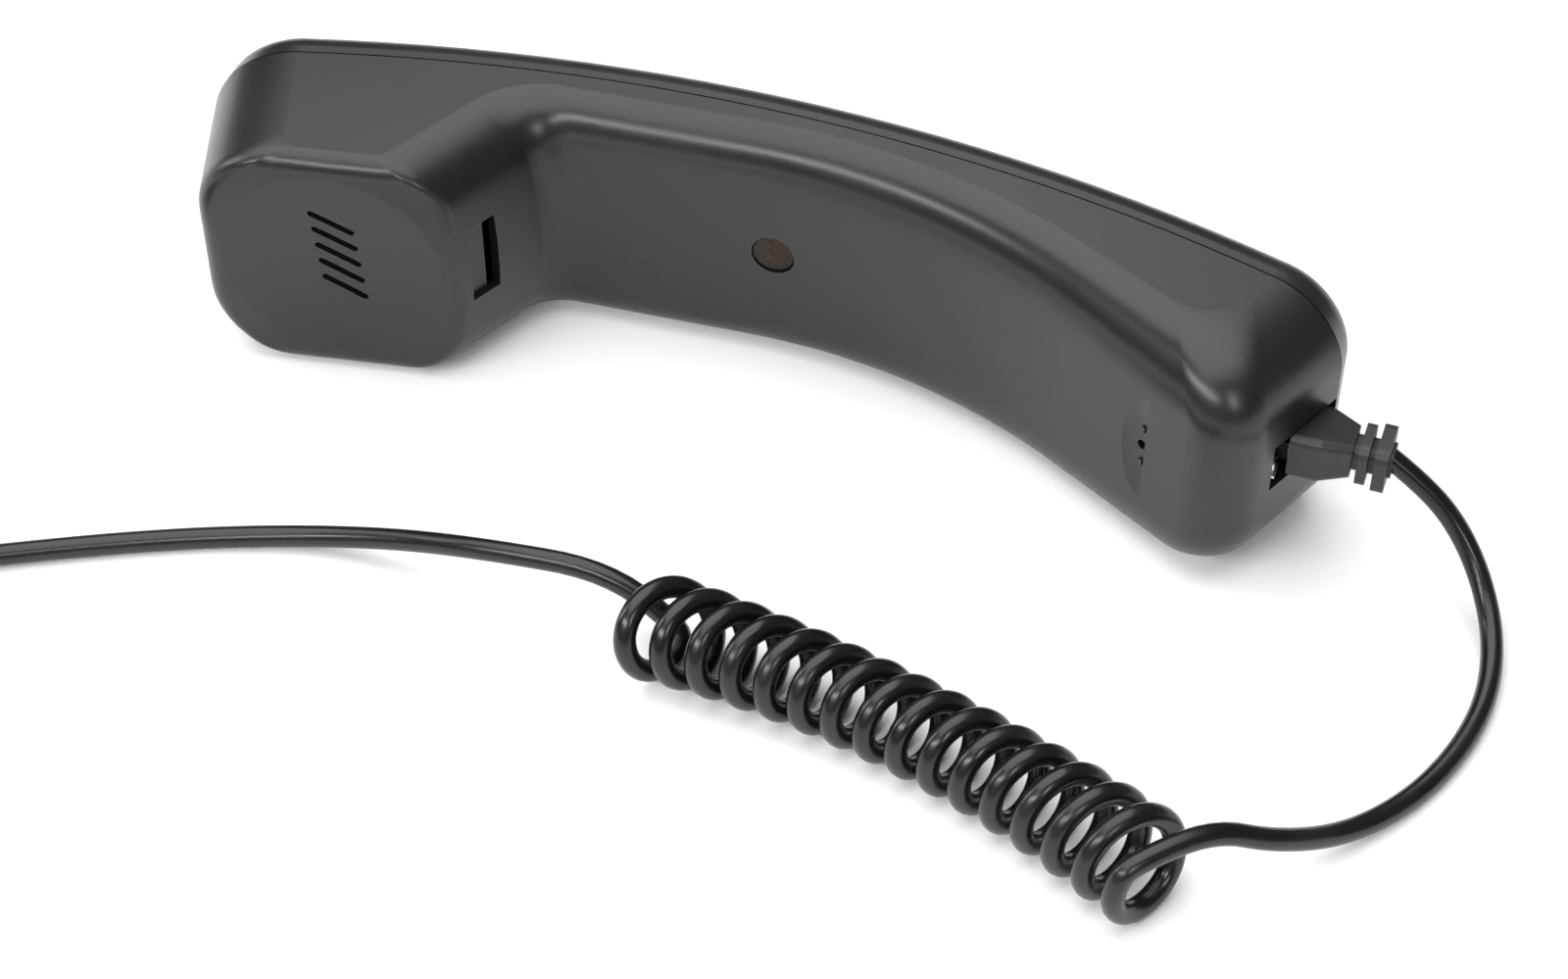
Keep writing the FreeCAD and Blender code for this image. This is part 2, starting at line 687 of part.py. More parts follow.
def cover_plan(inset, radius):
    x0 = -HALF_LENGTH + inset
    x1 = HALF_LENGTH - inset
    z0 = inset
    z1 = WIDTH - inset
    ra = ROUND_EAR_END - inset
    rb = ROUND_MOUTH_END - inset
    k = math.sqrt(0.5)
    y = COVER_CUT_LOW

    def p(x, z):
        return V(x, y, z)

    edges = [
        Part.LineSegment(p(x0 + ra, z0), p(x1 - rb, z0)).toShape(),
        Part.Arc(p(x1 - rb, z0), p(x1 - rb + rb * k, z0 + rb - rb * k), p(x1, z0 + rb)).toShape(),
        Part.LineSegment(p(x1, z0 + rb), p(x1, z1 - rb)).toShape(),
        Part.Arc(p(x1, z1 - rb), p(x1 - rb + rb * k, z1 - rb + rb * k), p(x1 - rb, z1)).toShape(),
        Part.LineSegment(p(x1 - rb, z1), p(x0 + ra, z1)).toShape(),
        Part.Arc(p(x0 + ra, z1), p(x0 + ra - ra * k, z1 - ra + ra * k), p(x0, z1 - ra)).toShape(),
        Part.LineSegment(p(x0, z1 - ra), p(x0, z0 + ra)).toShape(),
        Part.Arc(p(x0, z0 + ra), p(x0 + ra - ra * k, z0 + ra - ra * k), p(x0 + ra, z0)).toShape(),
    ]
    prism = Part.Face(Part.Wire(edges)).extrude(V(0, COVER_CUT_TALL, 0))
    return prism.common(drum(radius))


def drum_below(shape, radius):
    return shape.cut(drum(radius))


def domed(inset, top_radius, fillet):
    block = cover_plan(inset, top_radius)
    rim = []
    for edge in block.Edges:
        middle = edge.valueAt((edge.FirstParameter + edge.LastParameter) / 2.0)
        far = math.hypot(middle.x, middle.y - SEAM_CENTRE_Y)
        inner = edge.Vertexes[0].Point
        other = edge.Vertexes[-1].Point
        reach_a = math.hypot(inner.x, inner.y - SEAM_CENTRE_Y)
        reach_b = math.hypot(other.x, other.y - SEAM_CENTRE_Y)
        if min(far, reach_a, reach_b) > top_radius - 0.01:
            rim.append(edge)
    return block.makeFillet(fillet, rim)


def back_cover():
    outside = domed(0.0, SEAM_RADIUS + COVER_HEIGHT, COVER_ROUND)
    hollow = domed(COVER_WALL, SEAM_RADIUS + COVER_HEIGHT - COVER_WALL, COVER_ROUND - COVER_WALL)
    lid = drum_below(outside, SEAM_RADIUS + SEAM_GAP).cut(hollow)
    lip_out = cover_plan(LIP_INSET, SEAM_RADIUS + LEDGE_TALL)
    lip_in = cover_plan(LIP_INSET + LIP_THICK, SEAM_RADIUS + 2.0 * LEDGE_TALL)
    lip = drum_below(lip_out.cut(lip_in), SEAM_RADIUS - LIP_DEPTH)
    ledge = cover_plan(COVER_WALL / 2.0, SEAM_RADIUS + LEDGE_TALL).cut(lip_in)
    ledge = drum_below(ledge, SEAM_RADIUS + SEAM_GAP)
    notch = box(
        MOUTH_END - LIP_NOTCH_FROM_END,
        MOUTH_END + LIP_NOTCH_PAST,
        COVER_CUT_LOW,
        LIP_NOTCH_HIGH,
        OPENING_LOW - LIP_NOTCH_ROOM,
        OPENING_HIGH + LIP_NOTCH_ROOM,
    )
    low = SCREW_Y + SCREW_SINK + SEAT_FLOOR + BOSS_GAP
    wide = SCREW_SHANK + BOSS_WALL
    boss = tube(V(SCREW_X, low, MID_Z), V(0, 1, 0), wide, SCREW_SHANK + BOSS_CLEAR, BOSS_LONG)
    boss = boss.common(outside)
    return lid.fuse([ledge, lip.cut(notch), boss]).removeSplitter()


def ear_point(s, depth, up):
    n = left_normal(EAR_RUN)
    return V(
        DISH_CENTRE[0] + s * EAR_RUN[0] + depth * n[0],
        DISH_CENTRE[1] + s * EAR_RUN[1] + depth * n[1],
        MID_Z + up,
    )


def post_places():
    places = []
    for angle in POST_ANGLES:
        turn = math.radians(angle)
        places.append(V(POST_CIRCLE * math.cos(turn), POST_CIRCLE * math.sin(turn), 0.0))
    return places


def ear_posts():
    posts = []
    for place in post_places():
        hole_low = YOKE_BACK - CLAMP_SCREW_LENGTH - CLAMP_SCREW_ROOM
        post = disc(POST_RADIUS, WALL - FIRM_ROOT, YOKE_BACK)
        post = post.cut(disc(POST_HOLE, hole_low, YOKE_BACK))
        post.translate(place)
        posts.append(placed(post, EAR_FRAME))
    return posts


def front_supports(outside):
    parts = ear_posts()
    up = V(0, 1, 0)
    seat_low = SCREW_Y + WALL - SEAT_ROOT
    seat_high = SCREW_Y + SCREW_SINK + SEAT_FLOOR
    parts.append(rod(V(SCREW_X, seat_low, MID_Z), up, SCREW_HEAD + BOSS_WALL, seat_high - seat_low))
    for x in BALLAST_SCREWS:
        floor = GRIP_POINT[1] + GRIP_SLOPE * (x - GRIP_POINT[0]) + BALLAST_POST_FOOT
        parts.append(rod(V(x, floor, MID_Z), up, BALLAST_POST, BALLAST[2] - floor))
    for y in BOARD_POST_YS:
        foot = V(BOARD_POST_X, y, BOARD_POST_FOOT)
        parts.append(rod(foot, V(0, 0, 1), BOARD_POST, BOARD_LOW - BOARD_POST_FOOT))
    cup = CAPSULE_RADIUS + BOOT_WALL + RING_CLEAR
    parts.append(placed(ring(cup + RING_WALL, cup, WALL - RING_ROOT, WALL + RING_TALL), MOUTH_FRAME))
    return [piece.common(outside) for piece in parts]


def front_holes():
    holes = [scoop_cut(), opening_cut(), dish_cut()]
    holes.extend(slot_cuts())
    holes.extend(hook_cuts())
    holes.extend(screw_cuts())
    up = V(0, 1, 0)
    for x in BALLAST_SCREWS:
        low = BALLAST[2] - BALLAST_SCREW_REACH - BALLAST_SCREW_ROOM
        holes.append(rod(V(x, low, MID_Z), up, BALLAST_SCREW, BALLAST[2] - low))
    for y in BOARD_POST_YS:
        low = V(BOARD_POST_X, y, BOARD_LOW - BOARD_SCREW_LENGTH)
        holes.append(rod(low, V(0, 0, 1), BOARD_SCREW, BOARD_SCREW_LENGTH))
    holes.append(placed(disc(MOUTH_HOLE_RADIUS, -CUT_PAST, WALL + CUT_PAST), MOUTH_FRAME))
    return holes


def front_shell():
    outside = stacked(LEVEL_DEPTHS, LEVEL_SHARES, 0.0, SEAM_RADIUS, False)
    hollow = stacked(CAVITY_DEPTHS, CAVITY_SHARES, WALL, SEAM_RADIUS + HOLLOW_PAST, True)
    shell = outside.cut(hollow)
    shell = shell.fuse(front_supports(outside))
    shell = shell.cut(front_holes())
    return shell.fuse(mouth_marks()).removeSplitter()


def receiver_parts():
    gasket = ring(GASKET_OUTER, GASKET_INNER, WALL, BASKET_FRONT)
    cloth = disc(CLOTH_RADIUS, WALL, WALL + CLOTH_THICK)
    basket = ring(BASKET_RADIUS, BASKET_RADIUS - BASKET_WALL, BASKET_FRONT, BASKET_BACK)
    floor = ring(BASKET_RADIUS, YOKE_RADIUS, BASKET_BACK - BASKET_FLOOR, BASKET_BACK)
    for index in range(VENT_COUNT):
        turn = 2.0 * math.pi * (index + 0.5) / VENT_COUNT
        vent = disc(VENT_RADIUS, BASKET_BACK - VENT_REACH, BASKET_BACK + VENT_REACH)
        vent.translate(V(VENT_CIRCLE * math.cos(turn), VENT_CIRCLE * math.sin(turn), 0.0))
        floor = floor.cut(vent)
    basket = basket.fuse(floor).removeSplitter()
    yoke = disc(YOKE_RADIUS, YOKE_BACK - YOKE_TALL, YOKE_BACK)
    yoke = yoke.cut(disc(YOKE_RADIUS - YOKE_WALL, YOKE_BACK - YOKE_TALL - CUT_PAST, YOKE_BACK - YOKE_FLOOR))
    magnet_back = YOKE_BACK - YOKE_FLOOR
    magnet = disc(MAGNET_RADIUS, magnet_back - MAGNET_TALL, magnet_back)
    plate_back = magnet_back - MAGNET_TALL
    plate = disc(MAGNET_RADIUS, plate_back - PLATE_TALL, plate_back)
    coil_in = MAGNET_RADIUS + COIL_GAP
    cone_at = BASKET_FRONT + CONE_DEPTH
    coil = ring(coil_in + COIL_WALL, coil_in, cone_at + CONE_THICK, cone_at + CONE_THICK + COIL_TALL)
    edge = BASKET_RADIUS - BASKET_WALL - CONE_CLEAR
    sheet = disc(edge, cone_at, cone_at + CONE_THICK)
    ball = (coil_in ** 2 + DOME_RISE ** 2) / (2.0 * DOME_RISE)
    top = Part.makeSphere(ball, V(0, 0, cone_at + ball - DOME_RISE))
    under = Part.makeSphere(ball - CONE_THICK, V(0, 0, cone_at + ball - DOME_RISE))
    half = disc(coil_in, cone_at - DOME_REACH, cone_at + CONE_THICK)
    dome = top.cut(under).common(half)
    sheet = sheet.cut(disc(coil_in - CONE_LAP, cone_at - CUT_PAST, cone_at + CUT_PAST))
    cone = sheet.fuse(dome).removeSplitter()
    reach = POST_CIRCLE + CLAMP_PAST
    clamp = rounded_bar(reach, CLAMP_WIDTH / 2.0, YOKE_BACK, YOKE_BACK + CLAMP_THICK, CLAMP_ROUND)
    for side in (-1.0, 1.0):
        hole = disc(CLAMP_SCREW + CLAMP_HOLE_CLEAR, YOKE_BACK - CUT_PAST, YOKE_BACK + CLAMP_THICK + CUT_PAST)
        hole.translate(V(side * POST_CIRCLE, 0, 0))
        clamp = clamp.cut(hole)
    clamp.rotate(V(0, 0, 0), V(0, 0, 1), POST_ANGLES[0])
    screws = []
    for place in post_places():
        head_at = YOKE_BACK + CLAMP_THICK
        head = disc(CLAMP_HEAD, head_at, head_at + CLAMP_HEAD_TALL)
        shank = disc(CLAMP_SCREW, head_at - CLAMP_SCREW_LENGTH, head_at + CLAMP_HEAD_TALL)
        thin = CLAMP_SLOT_WIDE / 2.0
        long = CLAMP_SLOT_LONG / 2.0
        low = head_at + CLAMP_HEAD_TALL - CLAMP_SLOT_DEEP
        slot = box(-long, long, -thin, thin, low, low + CUT_PAST)
        cross = box(-thin, thin, -long, long, low, low + CUT_PAST)
        screw = head.fuse(shank).cut([slot, cross]).removeSplitter()
        screw.translate(place)
        screws.append(screw)
    pads = []
    for side in (-1.0, 1.0):
        low = V(TERMINAL_S - TERMINAL_LONG / 2.0, side * TERMINAL_GAP - TERMINAL_WIDE / 2.0, BASKET_BACK)
        pads.append(Part.makeBox(TERMINAL_LONG, TERMINAL_WIDE, TERMINAL_TALL, low))
    return {
        "receiver_gasket": gasket,
        "ear_cloth": cloth,
        "receiver_basket": basket,
        "receiver_yoke": yoke,
        "receiver_magnet": magnet,
        "receiver_top_plate": plate,
        "receiver_clamp": clamp,
        "receiver_clamp_screws": Part.Compound(screws),
        "receiver_terminals": Part.Compound(pads),
        "receiver_voice_coil": coil,
        "receiver_diaphragm": cone,
    }


def board_parts():
    bevel_x, front_x, bevel_y, front_y = BOARD_BEVEL
    outline = (
        (BOARD_BACK, BOARD_NEAR),
        (bevel_x, BOARD_NEAR),
        (front_x, bevel_y),
        (BOARD_FRONT, front_y),
        (BOARD_FRONT, BOARD_FAR),
        (BOARD_BACK, BOARD_FAR),
    )
    points = [V(x, y, BOARD_LOW) for x, y in outline]
    points.append(points[0])
    board = Part.Face(Part.makePolygon(points)).extrude(V(0, 0, BOARD_THICK))
    screws = []
    up = V(0, 0, 1)
    x = BOARD_POST_X
    for y in BOARD_POST_YS:
        hole_low = V(x, y, BOARD_LOW - CUT_PAST)
        hole = rod(hole_low, up, BOARD_SCREW + BOARD_SCREW_CLEAR, BOARD_THICK + 2.0 * CUT_PAST)
        board = board.cut(hole)
        head = rod(V(x, y, BOARD_TOP), up, BOARD_HEAD, BOARD_HEAD_TALL)
        shank = rod(V(x, y, BOARD_TOP - BOARD_SCREW_LENGTH), up, BOARD_SCREW, BOARD_SCREW_LENGTH)
        half = BOARD_SLOT_HALF
        thin = BOARD_SLOT_WIDE / 2.0
        low = BOARD_TOP + BOARD_HEAD_TALL - BOARD_SLOT_DEEP
        slot = box(x - half, x + half, y - thin, y + thin, low, low + CUT_PAST)
        screws.append(head.fuse(shank).cut(slot).removeSplitter())
    x0, x1, y0, y1, tall = CHIP
    chip = box(x0, x1, y0, y1, BOARD_LOW - tall, BOARD_LOW)
    x0, x1, y0, y1, tall = CRYSTAL
    rim = CRYSTAL_RIM
    can_low = BOARD_TOP + CRYSTAL_BASE
    base = box(x0, x1, y0, y1, BOARD_TOP, can_low)
    can = box(x0 + rim, x1 - rim, y0 + rim, y1 - rim, can_low, BOARD_TOP + tall)
    upright = [e for e in can.Edges if abs(e.tangentAt(e.FirstParameter).z) > 0.9]
    can = can.makeFillet(CRYSTAL_CORNER, upright)
    can = can.makeFillet(rim, [e for e in can.Edges if e.BoundBox.ZMin > BOARD_TOP + tall - 0.01])
    caps = []
    for x, y in CAPS:
        half_x, half_y, tall = CAP_SIZE[0] / 2.0, CAP_SIZE[1] / 2.0, CAP_SIZE[2]
        caps.append(box(x - half_x, x + half_x, y - half_y, y + half_y, BOARD_LOW - tall, BOARD_LOW))
    face = PLUG_FACE - SOCKET_CLEAR
    back = face - SOCKET_LENGTH
    low = BOARD_TOP
    high = BOARD_TOP + SOCKET_TALL
    socket = box(back, face, PLUG_Y - SOCKET_HALF, PLUG_Y + SOCKET_HALF, low, high)
    room_y = SOCKET_HALF - SOCKET_WALL
    inside = back + SOCKET_BACK
    room_low = low + SOCKET_WALL
    room_high = high - SOCKET_WALL
    socket = socket.cut(box(inside, face + CUT_PAST, PLUG_Y - room_y, PLUG_Y + room_y, room_low, room_high))
    tongue = box(
        inside,
        face - TONGUE_SHORT,
        PLUG_Y - TONGUE_HALF_Y,
        PLUG_Y + TONGUE_HALF_Y,
        SOCKET_Z - TONGUE_HALF_Z,
        SOCKET_Z + TONGUE_HALF_Z,
    )
    return {
        "circuit_board": board,
        "board_screws": Part.Compound(screws),
        "audio_chip": chip,
        "crystal_can": base.fuse(can).removeSplitter(),
        "board_capacitors": Part.Compound(caps),
        "usb_socket_shell": socket,
        "usb_socket_tongue": tongue,
    }


def microphone_parts():
    front = WALL + BOOT_FACE
    boot = ring(CAPSULE_RADIUS + BOOT_WALL, CAPSULE_RADIUS, front, front + CAPSULE_TALL - BOOT_SHORT)
    face = ring(CAPSULE_RADIUS + BOOT_WALL, MOUTH_HOLE_RADIUS + BOOT_HOLE_CLEAR, WALL, front)
    capsule = disc(CAPSULE_RADIUS, front, front + CAPSULE_TALL)
    capsule = capsule.cut(disc(CAPSULE_HOLE, front - CUT_PAST, front + CAPSULE_HOLE_DEEP))
    return {
        "microphone_boot": placed(boot.fuse(face).removeSplitter(), MOUTH_FRAME),
        "microphone_capsule": placed(capsule, MOUTH_FRAME),
    }


def ballast_parts():
    x0, x1, y0, y1, z0, z1 = BALLAST
    weight = box(x0, x1, y0, y1, z0, z1)
    corners = [e for e in weight.Edges if abs(e.tangentAt(e.FirstParameter).y) > 0.9]
    weight = weight.makeFillet(BALLAST_ROUND, corners)
    screws = []
    up = V(0, 1, 0)
    for x in BALLAST_SCREWS:
        hole_low = V(x, y0 - CUT_PAST, MID_Z)
        hole = rod(hole_low, up, BALLAST_SCREW + BALLAST_SCREW_CLEAR, y1 - y0 + 2.0 * CUT_PAST)
        weight = weight.cut(hole)
        head = rod(V(x, y1, MID_Z), up, BALLAST_HEAD, BALLAST_HEAD_TALL)
        low = y0 - BALLAST_SCREW_REACH
        shank = rod(V(x, low, MID_Z), up, BALLAST_SCREW, y1 - low)
        long = BALLAST_SLOT_HALF
        thin = BALLAST_SLOT_WIDE / 2.0
        cut_low = y1 + BALLAST_HEAD_TALL - BALLAST_SLOT_DEEP
        cut_high = cut_low + CUT_PAST
        slot = box(x - long, x + long, cut_low, cut_high, MID_Z - thin, MID_Z + thin)
        cross = box(x - thin, x + thin, cut_low, cut_high, MID_Z - long, MID_Z + long)
        screws.append(head.fuse(shank).cut([slot, cross]).removeSplitter())
    return {"ballast_weight": weight, "ballast_screws": Part.Compound(screws)}


def arc_edge(start, middle, end):
    return Part.Arc(start, middle, end).toShape()


def line_edge(start, end):
    return Part.LineSegment(start, end).toShape()


def route_edges(points):
    points = [V(*p) for p in points]
    edges = []
    here = points[0]
    radii = []
    for index in range(1, len(points) - 1):
        corner = points[index]
        back = points[index - 1] - corner
        ahead = points[index + 1] - corner
        reach = 0.45 * min(back.Length, ahead.Length)
        back.normalize()
        ahead.normalize()
        turn = math.pi - back.getAngle(ahead)
        radius = reach / math.tan(turn / 2.0)
        radii.append(radius)
        toward = back + ahead
        toward.normalize()
        enter = corner + back * reach
        leave = corner + ahead * reach
        middle = corner + toward * (radius / math.cos(turn / 2.0) - radius)
        edges.append(line_edge(here, enter))
        edges.append(arc_edge(enter, middle, leave))
        here = leave
    edges.append(line_edge(here, points[-1]))
    return edges, radii


def swept(edges, radius):
    path = Part.Wire(edges)
    first = edges[0]
    start = first.valueAt(first.FirstParameter)
    run = first.tangentAt(first.FirstParameter)
    ring_wire = Part.Wire(Part.makeCircle(radius, start, run))
    return path.makePipeShell([ring_wire], True, False)


def cord_along(name, points, size):
    edges, radii = route_edges(points)
    solid = swept(edges, size / 2.0)
    length = sum(e.Length for e in edges)
    section = math.pi * size * size / 4.0
    share = round(solid.Volume / (section * length), 4)
    print(name, "length", round(length, 1), "least radius", round(min(radii), 1), "volume share", share)
    return solid


def half_arc(start, knee, end):
    middle = (start + end) * 0.5
    out = knee - middle
    wide = (end - start).Length / 2.0
    bend = math.atan2(out.Length, wide)
    if bend < 1e-6:
        return line_edge(start, end)
    out.normalize()
    return arc_edge(start, middle + out * (wide * math.tan(bend / 2.0)), end)


def biarc(p0, t0, p1, t1):
    d = p1 - p0
    t = t0 + t1
    a = t.dot(t) - 4.0
    b = d.dot(t)
    c = d.dot(d)
    if abs(a) < 1e-9:
        size = c / (2.0 * b)
    else:
        size = (b - math.sqrt(b * b - a * c)) / a
    if size < 0.0:
        size = (b + math.sqrt(b * b - a * c)) / a
    q = p0 + t0 * size
    r = p1 - t1 * size
    joint = (q + r) * 0.5
    return [half_arc(p0, q, joint), half_arc(joint, r, p1)]


def host_exit():
    out = V(*HOST_EXIT)
    run = V(*HOST_ROUTE[0]) - out
    run.normalize()
    return out, run


def along_curl(terms, share):
    return terms[0] + terms[1] * share + terms[2] * share * share


def curl_place(turns):
    share = turns / CURL_TURNS
    x = along_curl(CURL_PATH_X, share)
    y = along_curl(CURL_PATH_Y, share)
    slope_x = CURL_PATH_X[1] + 2.0 * CURL_PATH_X[2] * share
    slope_y = CURL_PATH_Y[1] + 2.0 * CURL_PATH_Y[2] * share
    run = unit2((-slope_x, -slope_y))
    ahead = V(run[0], run[1], 0.0)
    far = V(-run[1], run[0], 0.0)
    radius = along_curl(CURL_RADII, share)
    angle = math.pi / 2.0 + 2.0 * math.pi * turns
    out = radius * math.cos(angle)
    up = radius * math.sin(angle)
    lean = (CURL_LEAN_FAR[0] + CURL_LEAN_FAR[1] * share) * out
    lean = lean + (CURL_LEAN_UP[0] + CURL_LEAN_UP[1] * share) * up
    centre = V(x, y, CORD / 2.0 + radius)
    return centre + far * out + V(0, 0, up) + ahead * lean


def curl_state(turns):
    step = 0.002
    run = curl_place(turns + step) - curl_place(turns - step)
    run.normalize()
    return curl_place(turns), run


def curled_cord():
    last = V(*HANDSET_ROUTE[-1])
    run = last - V(*HANDSET_ROUTE[-2])
    run.normalize()
    stub = last + run * CURL_STUB
    edges = [line_edge(last, stub)]
    place, heading = curl_state(CURL_START)
    edges.extend(biarc(stub, run, place, heading))
    turns = CURL_START
    stops = [k / 6.0 for k in range(1, int(6 * CURL_STOP) + 1)]
    stops.append(CURL_STOP)
    for stop in stops:
        if stop <= turns + 0.01:
            continue
        nxt, nxt_run = curl_state(stop)
        edges.extend(biarc(place, heading, nxt, nxt_run))
        place, heading = nxt, nxt_run
    out, out_run = host_exit()
    edges.extend(biarc(place, heading, out, out_run))
    edges.append(line_edge(out, out + out_run * CURL_STUB))
    return edges


def least_gap(edges, size):
    spots = []
    for edge in edges:
        count = max(2, int(edge.Length / 0.5))
        for index in range(count):
            share = edge.FirstParameter + (edge.LastParameter - edge.FirstParameter) * index / count
            spots.append(edge.valueAt(share))
    travelled = [0.0]
    for index in range(1, len(spots)):
        travelled.append(travelled[-1] + (spots[index] - spots[index - 1]).Length)
    best = 1000.0
    for i in range(0, len(spots)):
        for j in range(i + 1, len(spots)):
            if travelled[j] - travelled[i] < 4.0 * size:
                continue
            if travelled[j] - travelled[i] > 80.0 * size:
                break
            gap = (spots[i] - spots[j]).Length - size
            if gap < best:
                best = gap
    return best


def plan_turn(run, clockwise):
    if clockwise:
        return V(run.y, -run.x, 0.0)
    return V(-run.y, run.x, 0.0)


def coil_edges():
    start = V(*HOST_ROUTE[-1])
    before = V(*HOST_ROUTE[-2])
    run = V(start.x - before.x, start.y - before.y, 0.0)
    run.normalize()
    stub = start + run * COIL_STUB
    edges = [line_edge(start, stub)]
    step = COIL_PITCH / 2.0
    radius = COIL_FIRST_RADIUS
    here = stub
    heading = run
    middle_point = stub + plan_turn(run, True) * radius
    for index in range(COIL_INWARD):
        side = plan_turn(heading, True)
        centre = here + side * radius
        end = centre + side * radius
        edges.append(arc_edge(here, centre + heading * radius, end))
        here = end
        heading = heading * -1.0
        radius = radius - step
    side = plan_turn(heading, True)
    centre = here + side * radius
    rise = V(0, 0, COIL_PITCH)
    middle = centre + heading * radius + rise * 0.5
    slope = side + V(0, 0, 1) * (COIL_CLIMB * COIL_PITCH / (math.pi * radius))
    slope.normalize()
    end = centre + side * radius + rise
    edges.extend(biarc(here, heading, middle, slope))
    edges.extend(biarc(middle, slope, end, heading * -1.0))
    here = end
    heading = heading * -1.0
    radius = radius + step
    for index in range(COIL_INWARD + 1):
        side = plan_turn(heading, True)
        centre = here + side * radius
        end = centre + side * radius
        edges.append(arc_edge(here, centre + heading * radius, end))
        here = end
        heading = heading * -1.0
        radius = radius + step
    edges.append(line_edge(here, here + heading * COIL_STUB))
    return edges, middle_point, here + heading * COIL_STUB, heading


def facing(origin, run):
    x_axis = V(run.x, run.y, 0.0)
    x_axis.normalize()
    z_axis = V(0, 0, 1)
    turn = FreeCAD.Rotation(x_axis, z_axis.cross(x_axis), z_axis, "ZXY")
    return FreeCAD.Placement(origin, turn)


def block(x0, x1, wide, tall):
    return Part.makeBox(x1 - x0, wide, tall, V(x0, -wide / 2.0, -tall / 2.0))


def soft_block(x0, x1, wide, tall, radius):
    bar = block(x0, x1, wide, tall)
    return bar.makeFillet(radius, [e for e in bar.Edges if abs(e.tangentAt(e.FirstParameter).x) > 0.9])


def section_at(x, wide, tall, radius):
    bar = soft_block(x, x + 1.0, wide, tall, radius)
    for face in bar.Faces:
        if face.BoundBox.XMax < x + 0.01:
            return face.OuterWire
    return None


def mini_plug():
    tip = PLUG_FACE - PLUG_REACH
    root = PLUG_FACE + PLUG_ROOT
    shell = block(tip, root, 2.0 * PLUG_SHELL_HALF_Y, 2.0 * PLUG_SHELL_HALF_Z)
    room_y = 2.0 * (PLUG_SHELL_HALF_Y - PLUG_SHELL_WALL)
    room_z = 2.0 * (PLUG_SHELL_HALF_Z - PLUG_SHELL_WALL)
    shell = shell.cut(block(tip - CUT_PAST, root + CUT_PAST, room_y, room_z))
    insert = block(tip + PLUG_INSERT_SHORT, root, room_y, room_z)
    slot_y = 2.0 * (TONGUE_HALF_Y + TONGUE_CLEAR)
    slot_z = 2.0 * (TONGUE_HALF_Z + TONGUE_CLEAR)
    insert = insert.cut(block(tip - CUT_PAST, PLUG_FACE - PLUG_SLOT_STOP, slot_y, slot_z))
    body_end = PLUG_FACE + PLUG_BODY_LONG
    taper_end = PLUG_FACE + PLUG_TAPER_LONG
    tail_end = PLUG_FACE + PLUG_TAIL_LONG
    body = soft_block(PLUG_FACE, body_end, PLUG_BODY_WIDE, PLUG_BODY_TALL, PLUG_BODY_ROUND)
    wires = [
        section_at(body_end, PLUG_BODY_WIDE, PLUG_BODY_TALL, PLUG_BODY_ROUND),
        section_at(taper_end, PLUG_NECK, PLUG_NECK, PLUG_BODY_ROUND),
    ]
    body = body.fuse(Part.makeLoft(wires, True, True))
    body = body.fuse(soft_block(taper_end, tail_end, PLUG_TAIL_SIZE, PLUG_TAIL_SIZE, PLUG_BODY_ROUND))
    for x0, x1, size in PLUG_FLANGES:
        flange = soft_block(PLUG_FACE + x0, PLUG_FACE + x1, size, size, PLUG_FLANGE_ROUND)
        body = body.fuse(flange)
    body = body.removeSplitter()
    pocket = block(PLUG_FACE - CUT_PAST, root, 2.0 * PLUG_SHELL_HALF_Y, 2.0 * PLUG_SHELL_HALF_Z)
    body = body.cut(pocket)
    at = V(0.0, PLUG_Y, PLUG_Z)
    for piece in (shell, insert, body):
        piece.translate(at)
    run = V(*HANDSET_ROUTE[1]) - V(*HANDSET_ROUTE[0])
    body = body.cut(rod(V(*HANDSET_ROUTE[0]), run, CORD / 2.0, run.Length))
    return {"mini_plug_shell": shell, "mini_plug_insert": insert, "mini_plug_overmould": body}


